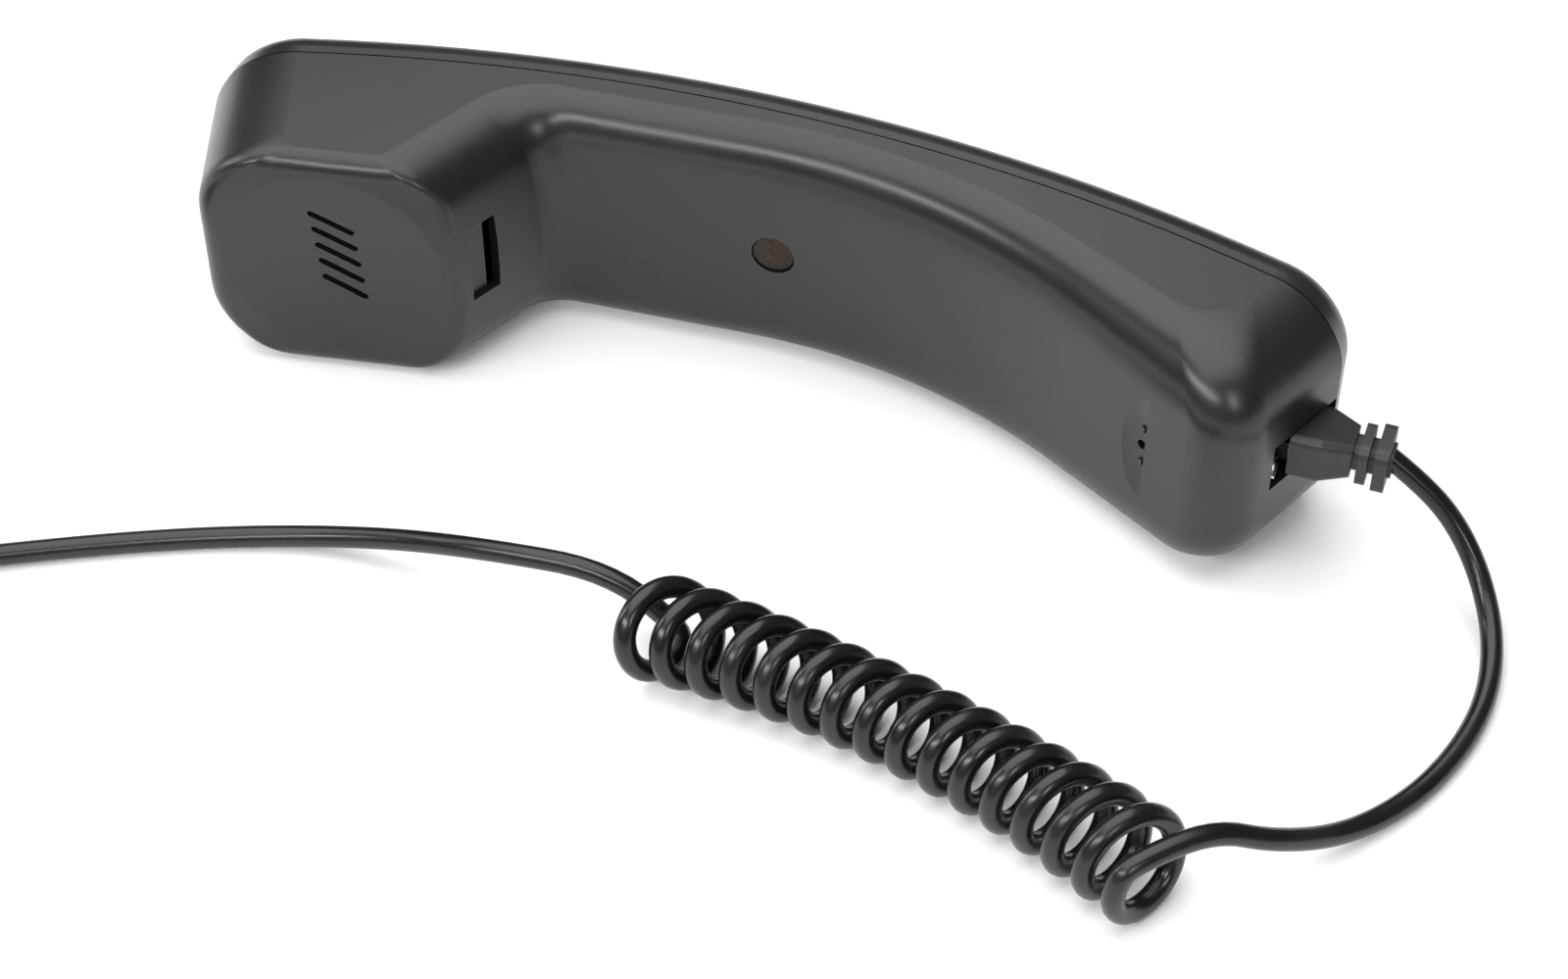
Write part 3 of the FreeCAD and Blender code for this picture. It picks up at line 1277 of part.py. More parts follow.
def host_plug(end, run):
    frame = facing(V(end.x, end.y, end.z), run)
    along = V(1, 0, 0)
    relief_end = HOST_RELIEF
    cone = Part.makeCone(HOST_RELIEF_THIN, HOST_RELIEF_THICK, relief_end, V(0, 0, 0), along)
    for index in range(HOST_RIB_COUNT):
        at = HOST_RIB_START + HOST_RIB_STEP * index
        cone = cone.fuse(rod(V(at, 0, 0), along, HOST_RIB_RADIUS, HOST_RIB_LONG))
    body_end = relief_end + HOST_BODY_LONG
    body = soft_block(relief_end, body_end, HOST_BODY_WIDE, HOST_BODY_TALL, HOST_BODY_ROUND)
    back = [e for e in body.Edges if e.BoundBox.XMax < relief_end + 0.01]
    body = body.makeFillet(HOST_BACK_ROUND, back)
    body = body.fuse(cone).removeSplitter()
    root = body_end - HOST_SHELL_ROOT
    tip = body_end + HOST_SHELL_LONG
    body = body.cut(block(root, body_end + CUT_PAST, HOST_SHELL_WIDE, HOST_SHELL_TALL))
    shell = block(root, tip, HOST_SHELL_WIDE, HOST_SHELL_TALL)
    room_y = HOST_SHELL_WIDE - 2.0 * HOST_SHELL_WALL
    room_z = HOST_SHELL_TALL - 2.0 * HOST_SHELL_WALL
    shell = shell.cut(block(root - CUT_PAST, tip + CUT_PAST, room_y, room_z))
    for side in (-1.0, 1.0):
        low = V(tip - HOST_WINDOW_BACK, side * HOST_WINDOW_SIDE - HOST_WINDOW_WIDE / 2.0, -HOST_SHELL_TALL)
        window = Part.makeBox(HOST_WINDOW_LONG, HOST_WINDOW_WIDE, 2.0 * HOST_SHELL_TALL, low)
        shell = shell.cut(window)
    insert_low = room_z / 2.0 - HOST_INSERT_TALL
    insert_end = tip - HOST_INSERT_SHORT
    insert = box(root, insert_end, -room_y / 2.0, room_y / 2.0, insert_low, room_z / 2.0)
    plug_back = block(root, root + HOST_SHELL_ROOT, room_y, room_z)
    insert = insert.fuse(plug_back).removeSplitter()
    contacts = []
    contact_back = tip - CONTACT_LONG - CONTACT_BACK
    for index in range(CONTACT_COUNT):
        across = (index - (CONTACT_COUNT - 1) / 2.0) * CONTACT_STEP
        contacts.append(
            Part.makeBox(
                CONTACT_LONG,
                CONTACT_WIDE,
                CONTACT_THICK,
                V(contact_back, across - CONTACT_WIDE / 2.0, insert_low - CONTACT_THICK),
            )
        )
    return {
        "host_plug_overmould": placed(body, frame),
        "host_plug_shell": placed(shell, frame),
        "host_plug_insert": placed(insert, frame),
        "host_plug_contacts": placed(Part.Compound(contacts), frame),
    }


def coil_tie(centre):
    start = V(*HOST_ROUTE[-1])
    before = V(*HOST_ROUTE[-2])
    run = V(start.x - before.x, start.y - before.y, 0.0)
    run.normalize()
    frame = facing(V(centre.x, centre.y, COIL_LOW), plan_turn(run, False))
    half = CORD / 2.0
    inner = COIL_FIRST_RADIUS - 3.0 * COIL_PITCH - half - TIE_CLEAR - TIE_SAG
    outer = COIL_FIRST_RADIUS + half + TIE_CLEAR
    low = -half - TIE_CLEAR
    high = COIL_PITCH + half + TIE_CLEAR
    wide = TIE_WIDE / 2.0
    case = Part.makeBox(
        outer - inner + 2.0 * TIE_THICK,
        TIE_WIDE,
        high - low + 2.0 * TIE_THICK,
        V(inner - TIE_THICK, -wide, low - TIE_THICK),
    )
    case = case.makeFillet(TIE_ROUND, [e for e in case.Edges if abs(e.tangentAt(e.FirstParameter).y) > 0.9])
    room = box(inner, outer, -wide - CUT_PAST, wide + CUT_PAST, low, high)
    return placed(case.cut(room), frame)


def mouth_point(s, depth, up):
    n = left_normal(MOUTH_RUN)
    x = MOUTH_HOLE[0] + s * MOUTH_RUN[0] + depth * n[0]
    y = MOUTH_HOLE[1] + s * MOUTH_RUN[1] + depth * n[1]
    return (x, y, MID_Z + up)


def terminal_point(side, depth):
    spot = ear_point(TERMINAL_S, BASKET_BACK + TERMINAL_TALL + depth, -side * TERMINAL_GAP)
    return (spot.x, spot.y, spot.z)


def grip_wire(places, step):
    points = []
    for share, place in zip(GRIP_WIRE_SHARES, places):
        points.append((EAR_END * share + step, place[0], MID_Z + place[1] * MID_Z))
    return points


def board_wire(places):
    points = [(MOUTH_END - back, y, MID_Z + up * MID_Z) for back, y, up in places]
    last = points[-1]
    points.append((last[0], last[1], BOARD_TOP))
    return points


def wire_pieces():
    red = [terminal_point(-1.0, 0.0), terminal_point(-1.0, WIRE_STUB)]
    red.extend(grip_wire(GRIP_WIRE_RED, 0.0))
    red.extend(board_wire(RED_TO_BOARD))
    black = [terminal_point(1.0, 0.0), terminal_point(1.0, WIRE_STUB)]
    black.extend(grip_wire(GRIP_WIRE_BLACK, GRIP_WIRE_STEP))
    black.extend(board_wire(BLACK_TO_BOARD))
    names = ("microphone_wire_red", "microphone_wire_black")
    pieces = {}
    pieces["receiver_wire_red"] = cord_along("receiver_wire_red", red, WIRE)
    pieces["receiver_wire_black"] = cord_along("receiver_wire_black", black, WIRE)
    for index in range(2):
        back, y = MOUTH_WIRE_PADS[index]
        x = MOUTH_END - back
        side = MOUTH_WIRE_SIDE - 2.0 * MOUTH_WIRE_SIDE * index
        points = [
            mouth_point(MOUTH_WIRE_S, CAPSULE_BACK, side),
            mouth_point(MOUTH_WIRE_S, CAPSULE_BACK + MOUTH_WIRE_STUB, side),
            (x, y, MID_Z + MOUTH_WIRE_HIGH),
            (x, y, BOARD_TOP),
        ]
        pieces[names[index]] = cord_along(names[index], points, WIRE)
    return pieces


def host_side():
    out, out_run = host_exit()
    first = out + out_run * CURL_STUB
    route = [(first.x, first.y, first.z)]
    route.extend(HOST_ROUTE)
    pieces = {"host_cord": cord_along("host_cord", route, CORD)}
    edges, centre, end, run = coil_edges()
    pieces["stored_coil"] = swept(edges, CORD / 2.0)
    pieces["coil_tie"] = coil_tie(centre)
    length = round(sum(e.Length for e in edges), 1)
    print("stored_coil length", length, "gap", round(least_gap(edges, CORD), 2))
    tail = [(end.x, end.y, end.z)]
    for along, drop in TAIL_STEPS:
        tail.append((end.x + run.x * along, end.y + run.y * along, end.z + drop))
    pieces["tail_cord"] = cord_along("tail_cord", tail, CORD)
    pieces.update(host_plug(V(*tail[-1]), run))
    return pieces


def handset_side():
    pieces = {"handset_cord": cord_along("handset_cord", HANDSET_ROUTE, CORD)}
    edges = curled_cord()
    pieces["curled_cord"] = swept(edges, CORD / 2.0)
    length = round(sum(e.Length for e in edges), 1)
    print("curled_cord length", length, "gap", round(least_gap(edges, CORD), 2))
    pieces.update(mini_plug())
    return pieces


def main():
    pieces = {
        "front_shell": front_shell(),
        "back_cover": back_cover(),
        "closing_screw": closing_screw(),
        "screw_cover_disc": foam_disc(),
    }
    for name, shape in receiver_parts().items():
        pieces[name] = placed(shape, EAR_FRAME)
    pieces.update(microphone_parts())
    pieces.update(board_parts())
    pieces.update(ballast_parts())
    pieces.update(wire_pieces())
    pieces.update(handset_side())
    pieces.update(host_side())
    for name, shape in pieces.items():
        export(name, shape)


main()
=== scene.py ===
import bpy
import bmesh
import math
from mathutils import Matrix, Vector, noise


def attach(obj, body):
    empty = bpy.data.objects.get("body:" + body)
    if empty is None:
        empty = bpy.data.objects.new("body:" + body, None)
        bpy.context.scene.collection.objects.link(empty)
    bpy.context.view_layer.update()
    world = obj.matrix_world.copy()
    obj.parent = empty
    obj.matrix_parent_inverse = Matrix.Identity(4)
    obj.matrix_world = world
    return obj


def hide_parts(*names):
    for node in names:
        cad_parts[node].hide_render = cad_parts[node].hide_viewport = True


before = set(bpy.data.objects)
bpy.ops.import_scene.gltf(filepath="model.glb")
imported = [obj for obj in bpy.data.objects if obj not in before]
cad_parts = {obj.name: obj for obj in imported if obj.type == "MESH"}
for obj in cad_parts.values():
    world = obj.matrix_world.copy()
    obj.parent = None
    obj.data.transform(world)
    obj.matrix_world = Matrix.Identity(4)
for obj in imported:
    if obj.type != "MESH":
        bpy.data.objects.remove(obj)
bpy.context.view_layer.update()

# Front shell and back cover: two injection moulded ABS halves, held by one screw under the foam disc.
# The mould has a fine satin from spark erosion, so the charcoal skin shows long soft highlights
# with a faint grit in them, and handling has polished it a little in patches.
shell_grit_mm = 0.45
shell_patch_mm = 28.0


def linear(code):
    values = []
    for start in (0, 2, 4):
        level = int(code[start:start + 2], 16) / 255.0
        values.append(level / 12.92 if level <= 0.04045 else ((level + 0.055) / 1.055) ** 2.4)
    return (values[0], values[1], values[2], 1.0)


def per_mm(size):
    return 1000.0 / size


def add_node(tree, kind, settings, sockets):
    node = tree.nodes.new(kind)
    for key, value in settings.items():
        setattr(node, key, value)
    for key, value in sockets.items():
        if isinstance(value, bpy.types.NodeSocket):
            tree.links.new(value, node.inputs[key])
        else:
            node.inputs[key].default_value = value
    return node


def new_material(name):
    made = bpy.data.materials.new(name)
    made.use_nodes = True
    tree = made.node_tree
    tree.nodes.clear()
    place = add_node(tree, "ShaderNodeTexCoord", {}, {})
    return made, tree, place.outputs["Object"]


# Sizes of patterns and depths of relief are in millimetres.
def mottle(tree, place, size, sockets):
    made = add_node(tree, "ShaderNodeTexNoise", {}, {"Vector": place, "Scale": per_mm(size), **sockets})
    return made.outputs["Fac"]


def tone_ramp(tree, pattern, *steps):
    ramp = add_node(tree, "ShaderNodeValToRGB", {}, {"Fac": pattern})
    for element, (position, code) in zip(ramp.color_ramp.elements, steps):
        element.position = position
        element.color = linear(code)
    return ramp.outputs["Color"]


def gloss_range(tree, pattern, least, most):
    made = add_node(tree, "ShaderNodeMapRange", {}, {
        "Value": pattern, "From Min": 0.3, "From Max": 0.7, "To Min": least, "To Max": most})
    return made.outputs["Result"]


def relief_from(tree, pattern, strength, depth):
    made = add_node(tree, "ShaderNodeBump", {}, {
        "Height": pattern, "Strength": strength, "Distance": depth / 1000.0})
    return made.outputs["Normal"]


def surface(tree, sockets):
    skin = add_node(tree, "ShaderNodeBsdfPrincipled", {}, sockets)
    add_node(tree, "ShaderNodeOutputMaterial", {}, {"Surface": skin.outputs["BSDF"]})


def finish_nodes(names, made):
    for name in names:
        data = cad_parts[name].data
        data.materials.clear()
        data.materials.append(made)


# Moulded ABS, satin: dark, slightly warm charcoal. Its highlights are broad and soft, not mirror-like.
abs_satin, tree, place = new_material("abs_moulded_satin")
patch = mottle(tree, place, shell_patch_mm, {"Detail": 5.0, "Roughness": 0.55})
tone = tone_ramp(tree, patch, (0.35, "111110"), (0.7, "191817"))
gloss = gloss_range(tree, patch, 0.28, 0.36)
grit = mottle(tree, place, shell_grit_mm, {"Detail": 2.0})
relief = relief_from(tree, grit, 0.12, 0.06)
surface(tree, {
    "Base Color": tone, "Roughness": gloss, "Normal": relief, "IOR": 1.53, "Specular IOR Level": 0.46})
finish_nodes(("front_shell", "back_cover"), abs_satin)

# Screws: cold headed steel, zinc plated. One closes the halves, two hold the board, two the ballast and
# two the receiver clamp. They are bright grey with a slightly cloudy plating.
steel_zinc, tree, place = new_material("steel_zinc_plated")
cloud = mottle(tree, place, 1.6, {"Detail": 4.0})
tone = tone_ramp(tree, cloud, (0.3, "a7a6a0"), (0.7, "c9c8c2"))
gloss = gloss_range(tree, cloud, 0.26, 0.4)
surface(tree, {"Base Color": tone, "Roughness": gloss, "Metallic": 1.0})
finish_nodes(("closing_screw", "board_screws", "ballast_screws", "receiver_clamp_screws"), steel_zinc)

# Foam disc: die cut from open cell polyurethane foam and stuck in a shallow pocket over the closing screw.
# It is brown grey and quite matt, and its pores show as small pits, with painted shade in them.
foam_centre = (0.6, 8.152, 25.0)
foam_run = Vector((1.0, 0.07, 0.0)).normalized()
foam_inward = Vector((-0.07, 1.0, 0.0)).normalized()
foam_radius = 4.0
foam_front = 0.25
foam_back = 1.05
foam_rim_round = 0.12
foam_rim_drop = 0.03
foam_side_drop = 0.16
foam_pore_mm = 0.55
foam_pore_deep = 0.09
foam_pore_least = -0.15
foam_rings = 26
foam_sectors = 84
shift_y = -0.444


def spot(x, y, z):
    return Vector((x / 1000.0, (y + shift_y) / 1000.0, z / 1000.0))


def shown(name, mesh):
    thing = bpy.data.objects.new(name, mesh)
    bpy.context.scene.collection.objects.link(thing)
    return thing


def foam_place(radius, turn, depth):
    across = foam_run * (radius * math.cos(turn))
    return Vector(foam_centre) + across + Vector((0.0, 0.0, radius * math.sin(turn))) + foam_inward * depth


foam_profile = [(foam_radius * step / foam_rings, foam_front) for step in range(1, foam_rings - 1)]
foam_profile.append((foam_radius - foam_rim_round, foam_front + foam_rim_drop))
foam_profile.append((foam_radius, foam_front + foam_side_drop))
foam_profile.append((foam_radius, foam_back))
shape = bmesh.new()
middle = shape.verts.new(spot(*foam_place(0.0, 0.0, foam_front)))
rings = []
for radius, depth in foam_profile:
    ring = []
    for sector in range(foam_sectors):
        turn = 2.0 * math.pi * sector / foam_sectors
        at = foam_place(radius, turn, depth)
        pore = noise.noise(at / foam_pore_mm)
        if depth < foam_back:
            at = at + foam_inward * (foam_pore_deep * max(pore, foam_pore_least))
        ring.append(shape.verts.new(spot(*at)))
    rings.append(ring)
for sector in range(foam_sectors):
    shape.faces.new((middle, rings[0][sector], rings[0][(sector + 1) % foam_sectors]))
for inner, outer in zip(rings, rings[1:]):
    for sector in range(foam_sectors):
        after = (sector + 1) % foam_sectors
        shape.faces.new((inner[sector], outer[sector], outer[after], inner[after]))
shape.faces.new(rings[-1])
bmesh.ops.recalc_face_normals(shape, faces=shape.faces)
for face in shape.faces:
    face.smooth = len(face.verts) <= 4
foam_mesh = bpy.data.meshes.new("foam_disc")
shape.to_mesh(foam_mesh)
shape.free()
foam_disc = shown("foam_disc", foam_mesh)
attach(foam_disc, "handset")
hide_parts("screw_cover_disc")

# Open cell foam: painted light on the cell walls, painted shade in the pores. Real cells are 0.3 mm, drawn at
# 0.55.
foam_open_cell, tree, place = new_material("foam_open_cell_die_cut")
cells = add_node(tree, "ShaderNodeTexVoronoi", {"feature": "DISTANCE_TO_EDGE"}, {
    "Vector": place, "Scale": per_mm(foam_pore_mm)})
tone = tone_ramp(tree, cells.outputs["Distance"], (0.02, "3f362f"), (0.4, "15110e"))
pits = add_node(tree, "ShaderNodeBump", {"invert": True}, {
    "Height": cells.outputs["Distance"], "Strength": 0.7, "Distance": 0.0002})
surface(tree, {
    "Base Color": tone, "Roughness": 0.92, "Normal": pits.outputs["Normal"], "Specular IOR Level": 0.25})
foam_mesh.materials.append(foam_open_cell)

# Receiver seal and microphone boot: moulded soft rubber, pressed between the shell and each transducer.
# Rubber is dead black with a bloom that greys it slightly.
rubber_soft, tree, place = new_material("rubber_moulded_soft")
bloom = mottle(tree, place, 2.5, {"Detail": 4.0})
tone = tone_ramp(tree, bloom, (0.35, "151515"), (0.75, "262626"))
relief = relief_from(tree, bloom, 0.2, 0.1)
surface(tree, {"Base Color": tone, "Roughness": 0.72, "Normal": relief, "IOR": 1.52})
finish_nodes(("receiver_gasket", "microphone_boot"), rubber_soft)

# Acoustic cloth: black woven polyester, stuck behind the five slots to keep dust out of the receiver.
# Its threads are 0.2 mm apart and are drawn at 0.5 mm, so that the weave can show through a slot.
cloth_thread_mm = 0.5


def bands_per_mm(size):
    return per_mm(size) * math.pi / 10.0


cloth_woven, tree, place = new_material("polyester_woven_acoustic")
warp = add_node(tree, "ShaderNodeTexWave", {"bands_direction": "X"}, {
    "Vector": place, "Scale": bands_per_mm(cloth_thread_mm)})
weft = add_node(tree, "ShaderNodeTexWave", {"bands_direction": "Z"}, {
    "Vector": place, "Scale": bands_per_mm(cloth_thread_mm)})
weave = add_node(tree, "ShaderNodeMath", {"operation": "MULTIPLY"}, {
    0: warp.outputs["Fac"], 1: weft.outputs["Fac"]})
tone = tone_ramp(tree, weave.outputs["Value"], (0.0, "070707"), (1.0, "242322"))
relief = relief_from(tree, weave.outputs["Value"], 0.6, 0.1)
surface(tree, {"Base Color": tone, "Roughness": 0.9, "Normal": relief})
finish_nodes(("ear_cloth",), cloth_woven)

# Receiver basket: glass filled PBT, moulded dark grey. Short fibres near the skin mottle it.
pbt_filled, tree, place = new_material("pbt_glass_filled_moulded")
fibre = mottle(tree, place, 0.9, {"Detail": 5.0, "Distortion": 1.5})
tone = tone_ramp(tree, fibre, (0.35, "2c2c2e"), (0.7, "3d3d3f"))
surface(tree, {"Base Color": tone, "Roughness": 0.5, "IOR": 1.57})
finish_nodes(("receiver_basket",), pbt_filled)

# Receiver yoke, top plate and clamp, and the shells of the two plugs: drawn or stamped steel, plated with
# bright nickel. Drawing leaves faint lines along the metal, 0.1 mm apart and drawn at 0.3 mm.
nickel_line_mm = 0.3
steel_nickel, tree, place = new_material("steel_drawn_nickel_plated")
pull = add_node(tree, "ShaderNodeMapping", {}, {"Vector": place, "Scale": (0.08, 1.0, 1.0)})
lines = mottle(tree, pull.outputs["Vector"], nickel_line_mm, {"Detail": 3.0})
gloss = gloss_range(tree, lines, 0.16, 0.3)
relief = relief_from(tree, lines, 0.06, 0.05)
surface(tree, {"Base Color": linear("c8c6c0"), "Roughness": gloss, "Metallic": 1.0, "Normal": relief})
finish_nodes(("receiver_yoke", "receiver_top_plate", "receiver_clamp", "mini_plug_shell", "host_plug_shell"),
             steel_nickel)

# Socket shell: steel strip folded to a tube and soldered to the board by its feet. Its near black colour is
# painted shade, standing for the shadow round the plug in its opening, with a faint grain where the strip was
# rolled.
socket_steel_line_mm = 0.4
steel_painted_shade, tree, place = new_material("steel_folded_painted_shade")
pull = add_node(tree, "ShaderNodeMapping", {}, {"Vector": place, "Scale": (0.1, 1.0, 1.0)})
lines = mottle(tree, pull.outputs["Vector"], socket_steel_line_mm, {"Detail": 3.0})
gloss = gloss_range(tree, lines, 0.38, 0.52)
# Near black base colour: painted shade round the plug in its opening.
surface(tree, {"Base Color": linear("24221f"), "Roughness": gloss, "Metallic": 1.0})
finish_nodes(("usb_socket_shell",), steel_painted_shade)

# Receiver magnet: pressed and sintered ferrite, ground on its flats. Dark grey with a fine grain.
ferrite, tree, place = new_material("ferrite_sintered_ground")
grain = add_node(tree, "ShaderNodeTexVoronoi", {}, {"Vector": place, "Scale": per_mm(0.4)})
tone = tone_ramp(tree, grain.outputs["Distance"], (0.0, "4a4a4d"), (1.0, "2f2f32"))
surface(tree, {"Base Color": tone, "Roughness": 0.55})
finish_nodes(("receiver_magnet",), ferrite)

# Diaphragm: polyester film, thermoformed in one shot, on a wound voice coil. Thin film is amber and glossy,
# and rings pressed into it, 1.4 mm apart, let it move.
film_ring_mm = 1.4
film_centre = (-0.07334, -0.02187, 0.025)
polyester_film, tree, place = new_material("polyester_film_thermoformed")
centred = add_node(tree, "ShaderNodeMapping", {}, {
    "Vector": place, "Location": tuple(-value for value in film_centre)})
ripple = add_node(tree, "ShaderNodeTexWave", {"wave_type": "RINGS", "rings_direction": "SPHERICAL"}, {
    "Vector": centred.outputs["Vector"], "Scale": bands_per_mm(film_ring_mm)})
relief = relief_from(tree, ripple.outputs["Fac"], 0.4, 0.2)
surface(tree, {"Base Color": linear("b9a77a"), "Roughness": 0.16, "Normal": relief, "IOR": 1.64})
finish_nodes(("receiver_diaphragm",), polyester_film)

# Voice coil: enamelled copper wire, wound and bonded. Wire of 0.08 mm, its turns drawn 0.35 mm apart.
wound_wire_mm = 0.35
copper_enamelled, tree, place = new_material("copper_wire_enamelled_wound")
turns_seen = add_node(tree, "ShaderNodeTexWave", {"bands_direction": "Y"}, {
    "Vector": place, "Scale": bands_per_mm(wound_wire_mm)})
tone = tone_ramp(tree, turns_seen.outputs["Fac"], (0.0, "6b2d16"), (1.0, "c56a3a"))
surface(tree, {"Base Color": tone, "Roughness": 0.28, "Metallic": 1.0})
finish_nodes(("receiver_voice_coil",), copper_enamelled)

# Receiver terminals: tinned brass tabs, each with solder on it, so they are bright and a little lumpy.
brass_tinned, tree, place = new_material("brass_tinned_soldered")
lumps = mottle(tree, place, 0.8, {})
relief = relief_from(tree, lumps, 0.4, 0.2)
surface(tree, {"Base Color": linear("cdccc6"), "Roughness": 0.3, "Metallic": 1.0, "Normal": relief})
finish_nodes(("receiver_terminals",), brass_tinned)

# Microphone: electret capsule in a deep drawn aluminium can, rolled over a small board at its back.
aluminium_drawn, tree, place = new_material("aluminium_deep_drawn")
wear = mottle(tree, place, 0.7, {"Detail": 3.0, "Distortion": 0.6})
gloss = gloss_range(tree, wear, 0.26, 0.42)
surface(tree, {"Base Color": linear("d3d4d6"), "Roughness": gloss, "Metallic": 1.0})
finish_nodes(("microphone_capsule",), aluminium_drawn)

# Circuit board: glass epoxy laminate with green solder mask, screwed to two posts of the shell.
# Copper tracks 0.25 mm wide show as paler raised lines under the mask, drawn 0.9 mm apart.
board_track_mm = 0.9
board_masked, tree, place = new_material("glass_epoxy_green_mask")
bent = mottle(tree, place, 5.0, {})
tracks = add_node(tree, "ShaderNodeTexBrick", {"offset": 0.5}, {
    "Vector": place, "Scale": per_mm(board_track_mm) / 4.0, "Mortar Size": 0.03, "Color1": linear("0d3d1e"),
    "Color2": linear("0f4522"), "Mortar": linear("2a6a38")})
gloss = gloss_range(tree, bent, 0.2, 0.32)
relief = relief_from(tree, tracks.outputs["Fac"], 0.3, 0.04)
surface(tree, {"Base Color": tracks.outputs["Color"], "Roughness": gloss, "Normal": relief, "IOR": 1.5})
finish_nodes(("circuit_board",), board_masked)

# Audio chip: transfer moulded black epoxy. Its skin is matt with silica specks.
epoxy_moulded, tree, place = new_material("epoxy_transfer_moulded")
specks = mottle(tree, place, 0.2, {"Detail": 2.0})
tone = tone_ramp(tree, specks, (0.4, "161616"), (0.8, "333333"))
surface(tree, {"Base Color": tone, "Roughness": 0.6})
finish_nodes(("audio_chip",), epoxy_moulded)

# Crystal: a low can pressed from nickel silver and welded to its base. It is bright silver, with the softly
# dented top that pressing leaves, and its top is bare.
nickel_silver, tree, place = new_material("nickel_silver_pressed_can")
dents = mottle(tree, place, 2.2, {"Detail": 1.0})
relief = relief_from(tree, dents, 0.25, 0.3)
surface(tree, {"Base Color": linear("dcdad4"), "Roughness": 0.24, "Metallic": 1.0, "Normal": relief})
finish_nodes(("crystal_can",), nickel_silver)

# Capacitors: two blocks of sintered ceramic, tan, with a tinned end cap of 0.5 mm at each end.
# The blocks stand 4.4 mm apart, so the caps repeat at that distance along the board.
capacitor_step_mm = 4.4
capacitor_first_mm = 88.2
capacitor_cap_from_mm = 1.1
ceramic_tinned, tree, place = new_material("ceramic_sintered_tinned_ends")
parts_seen = add_node(tree, "ShaderNodeSeparateXYZ", {}, {"Vector": place})
along = add_node(tree, "ShaderNodeMath", {"operation": "SUBTRACT"}, {
    0: parts_seen.outputs["X"], 1: (capacitor_first_mm - 2.0 * capacitor_step_mm) / 1000.0})
fold = add_node(tree, "ShaderNodeMath", {"operation": "PINGPONG"}, {
    0: along.outputs["Value"], 1: capacitor_step_mm / 2000.0})
ends = add_node(tree, "ShaderNodeMath", {"operation": "GREATER_THAN"}, {
    0: fold.outputs["Value"], 1: capacitor_cap_from_mm / 1000.0})
clay = mottle(tree, place, 0.5, {})
tone = tone_ramp(tree, clay, (0.0, "7d6242"), (1.0, "a58863"))
body = add_node(tree, "ShaderNodeBsdfPrincipled", {}, {"Base Color": tone, "Roughness": 0.45})
cap = add_node(tree, "ShaderNodeBsdfPrincipled", {}, {
    "Base Color": linear("c6c5c0"), "Roughness": 0.35, "Metallic": 1.0})
both = add_node(tree, "ShaderNodeMixShader", {}, {
    0: ends.outputs["Value"], 1: body.outputs["BSDF"], 2: cap.outputs["BSDF"]})
add_node(tree, "ShaderNodeOutputMaterial", {}, {"Surface": both.outputs["Shader"]})
finish_nodes(("board_capacitors",), ceramic_tinned)

# Insulators in the socket and in the mini plug: moulded black liquid crystal polymer, with visible flow lines.
lcp_black, tree, place = new_material("lcp_moulded_black")
flow = mottle(tree, place, 1.2, {"Detail": 3.0, "Distortion": 2.0})
gloss = gloss_range(tree, flow, 0.35, 0.55)
surface(tree, {"Base Color": linear("17171a"), "Roughness": gloss, "IOR": 1.6})
finish_nodes(("usb_socket_tongue", "mini_plug_insert"), lcp_black)

# Ballast: a block cast in zinc alloy, screwed into the grip to give the handset its weight.
# The die leaves a dull grey skin with faint cold-flow marks.
zinc_cast, tree, place = new_material("zinc_alloy_die_cast")
marks = mottle(tree, place, 6.0, {"Detail": 6.0, "Distortion": 1.2})
tone = tone_ramp(tree, marks, (0.35, "85868a"), (0.7, "a9aaad"))
relief = relief_from(tree, marks, 0.2, 0.2)
surface(tree, {"Base Color": tone, "Roughness": 0.48, "Metallic": 1.0, "Normal": relief})
finish_nodes(("ballast_weight",), zinc_cast)

# Inner wires: stranded copper in extruded PVC, one red and one black pair. Soft PVC is fairly glossy, with a
# faint waviness from the strands under it.
wire_wave_mm = 1.4
for wire_name, wire_code, wire_nodes in (
    ("pvc_wire_red_extruded", "c01a14", ("receiver_wire_red", "microphone_wire_red")),
    ("pvc_wire_black_extruded", "141414", ("receiver_wire_black", "microphone_wire_black")),
):
    wire_pvc, tree, place = new_material(wire_name)
    strands = mottle(tree, place, wire_wave_mm, {"Detail": 2.0})
    relief = relief_from(tree, strands, 0.15, 0.1)
    gloss = gloss_range(tree, strands, 0.3, 0.42)
    surface(tree, {"Base Color": linear(wire_code), "Roughness": gloss, "Normal": relief, "IOR": 1.53})
    finish_nodes(wire_nodes, wire_pvc)

# Plug bodies: PVC moulded over the cord's end, the mini plug's with a tapered, flanged strain relief and the
# host plug's with a ribbed one. The mould is spark eroded, so the skin is matt and finely pebbled.
plug_grit_mm = 0.35
pvc_overmould, tree, place = new_material("pvc_overmoulded_matt")
grit = mottle(tree, place, plug_grit_mm, {"Detail": 3.0})
patch = mottle(tree, place, 5.0, {"Detail": 3.0})
tone = tone_ramp(tree, patch, (0.35, "151516"), (0.7, "1f1f20"))
relief = relief_from(tree, grit, 0.35, 0.08)
surface(tree, {"Base Color": tone, "Roughness": 0.46, "Normal": relief, "IOR": 1.53})
finish_nodes(("mini_plug_overmould", "host_plug_overmould"), pvc_overmould)

# Host plug's inside: a moulded white PBT insert that holds four contacts. The resin is faintly cloudy.
pbt_white, tree, place = new_material("pbt_white_moulded")
milk = mottle(tree, place, 3.0, {})
tone = tone_ramp(tree, milk, (0.0, "dedcd4"), (1.0, "efeee9"))
surface(tree, {"Base Color": tone, "Roughness": 0.38, "IOR": 1.57})
finish_nodes(("host_plug_insert",), pbt_white)

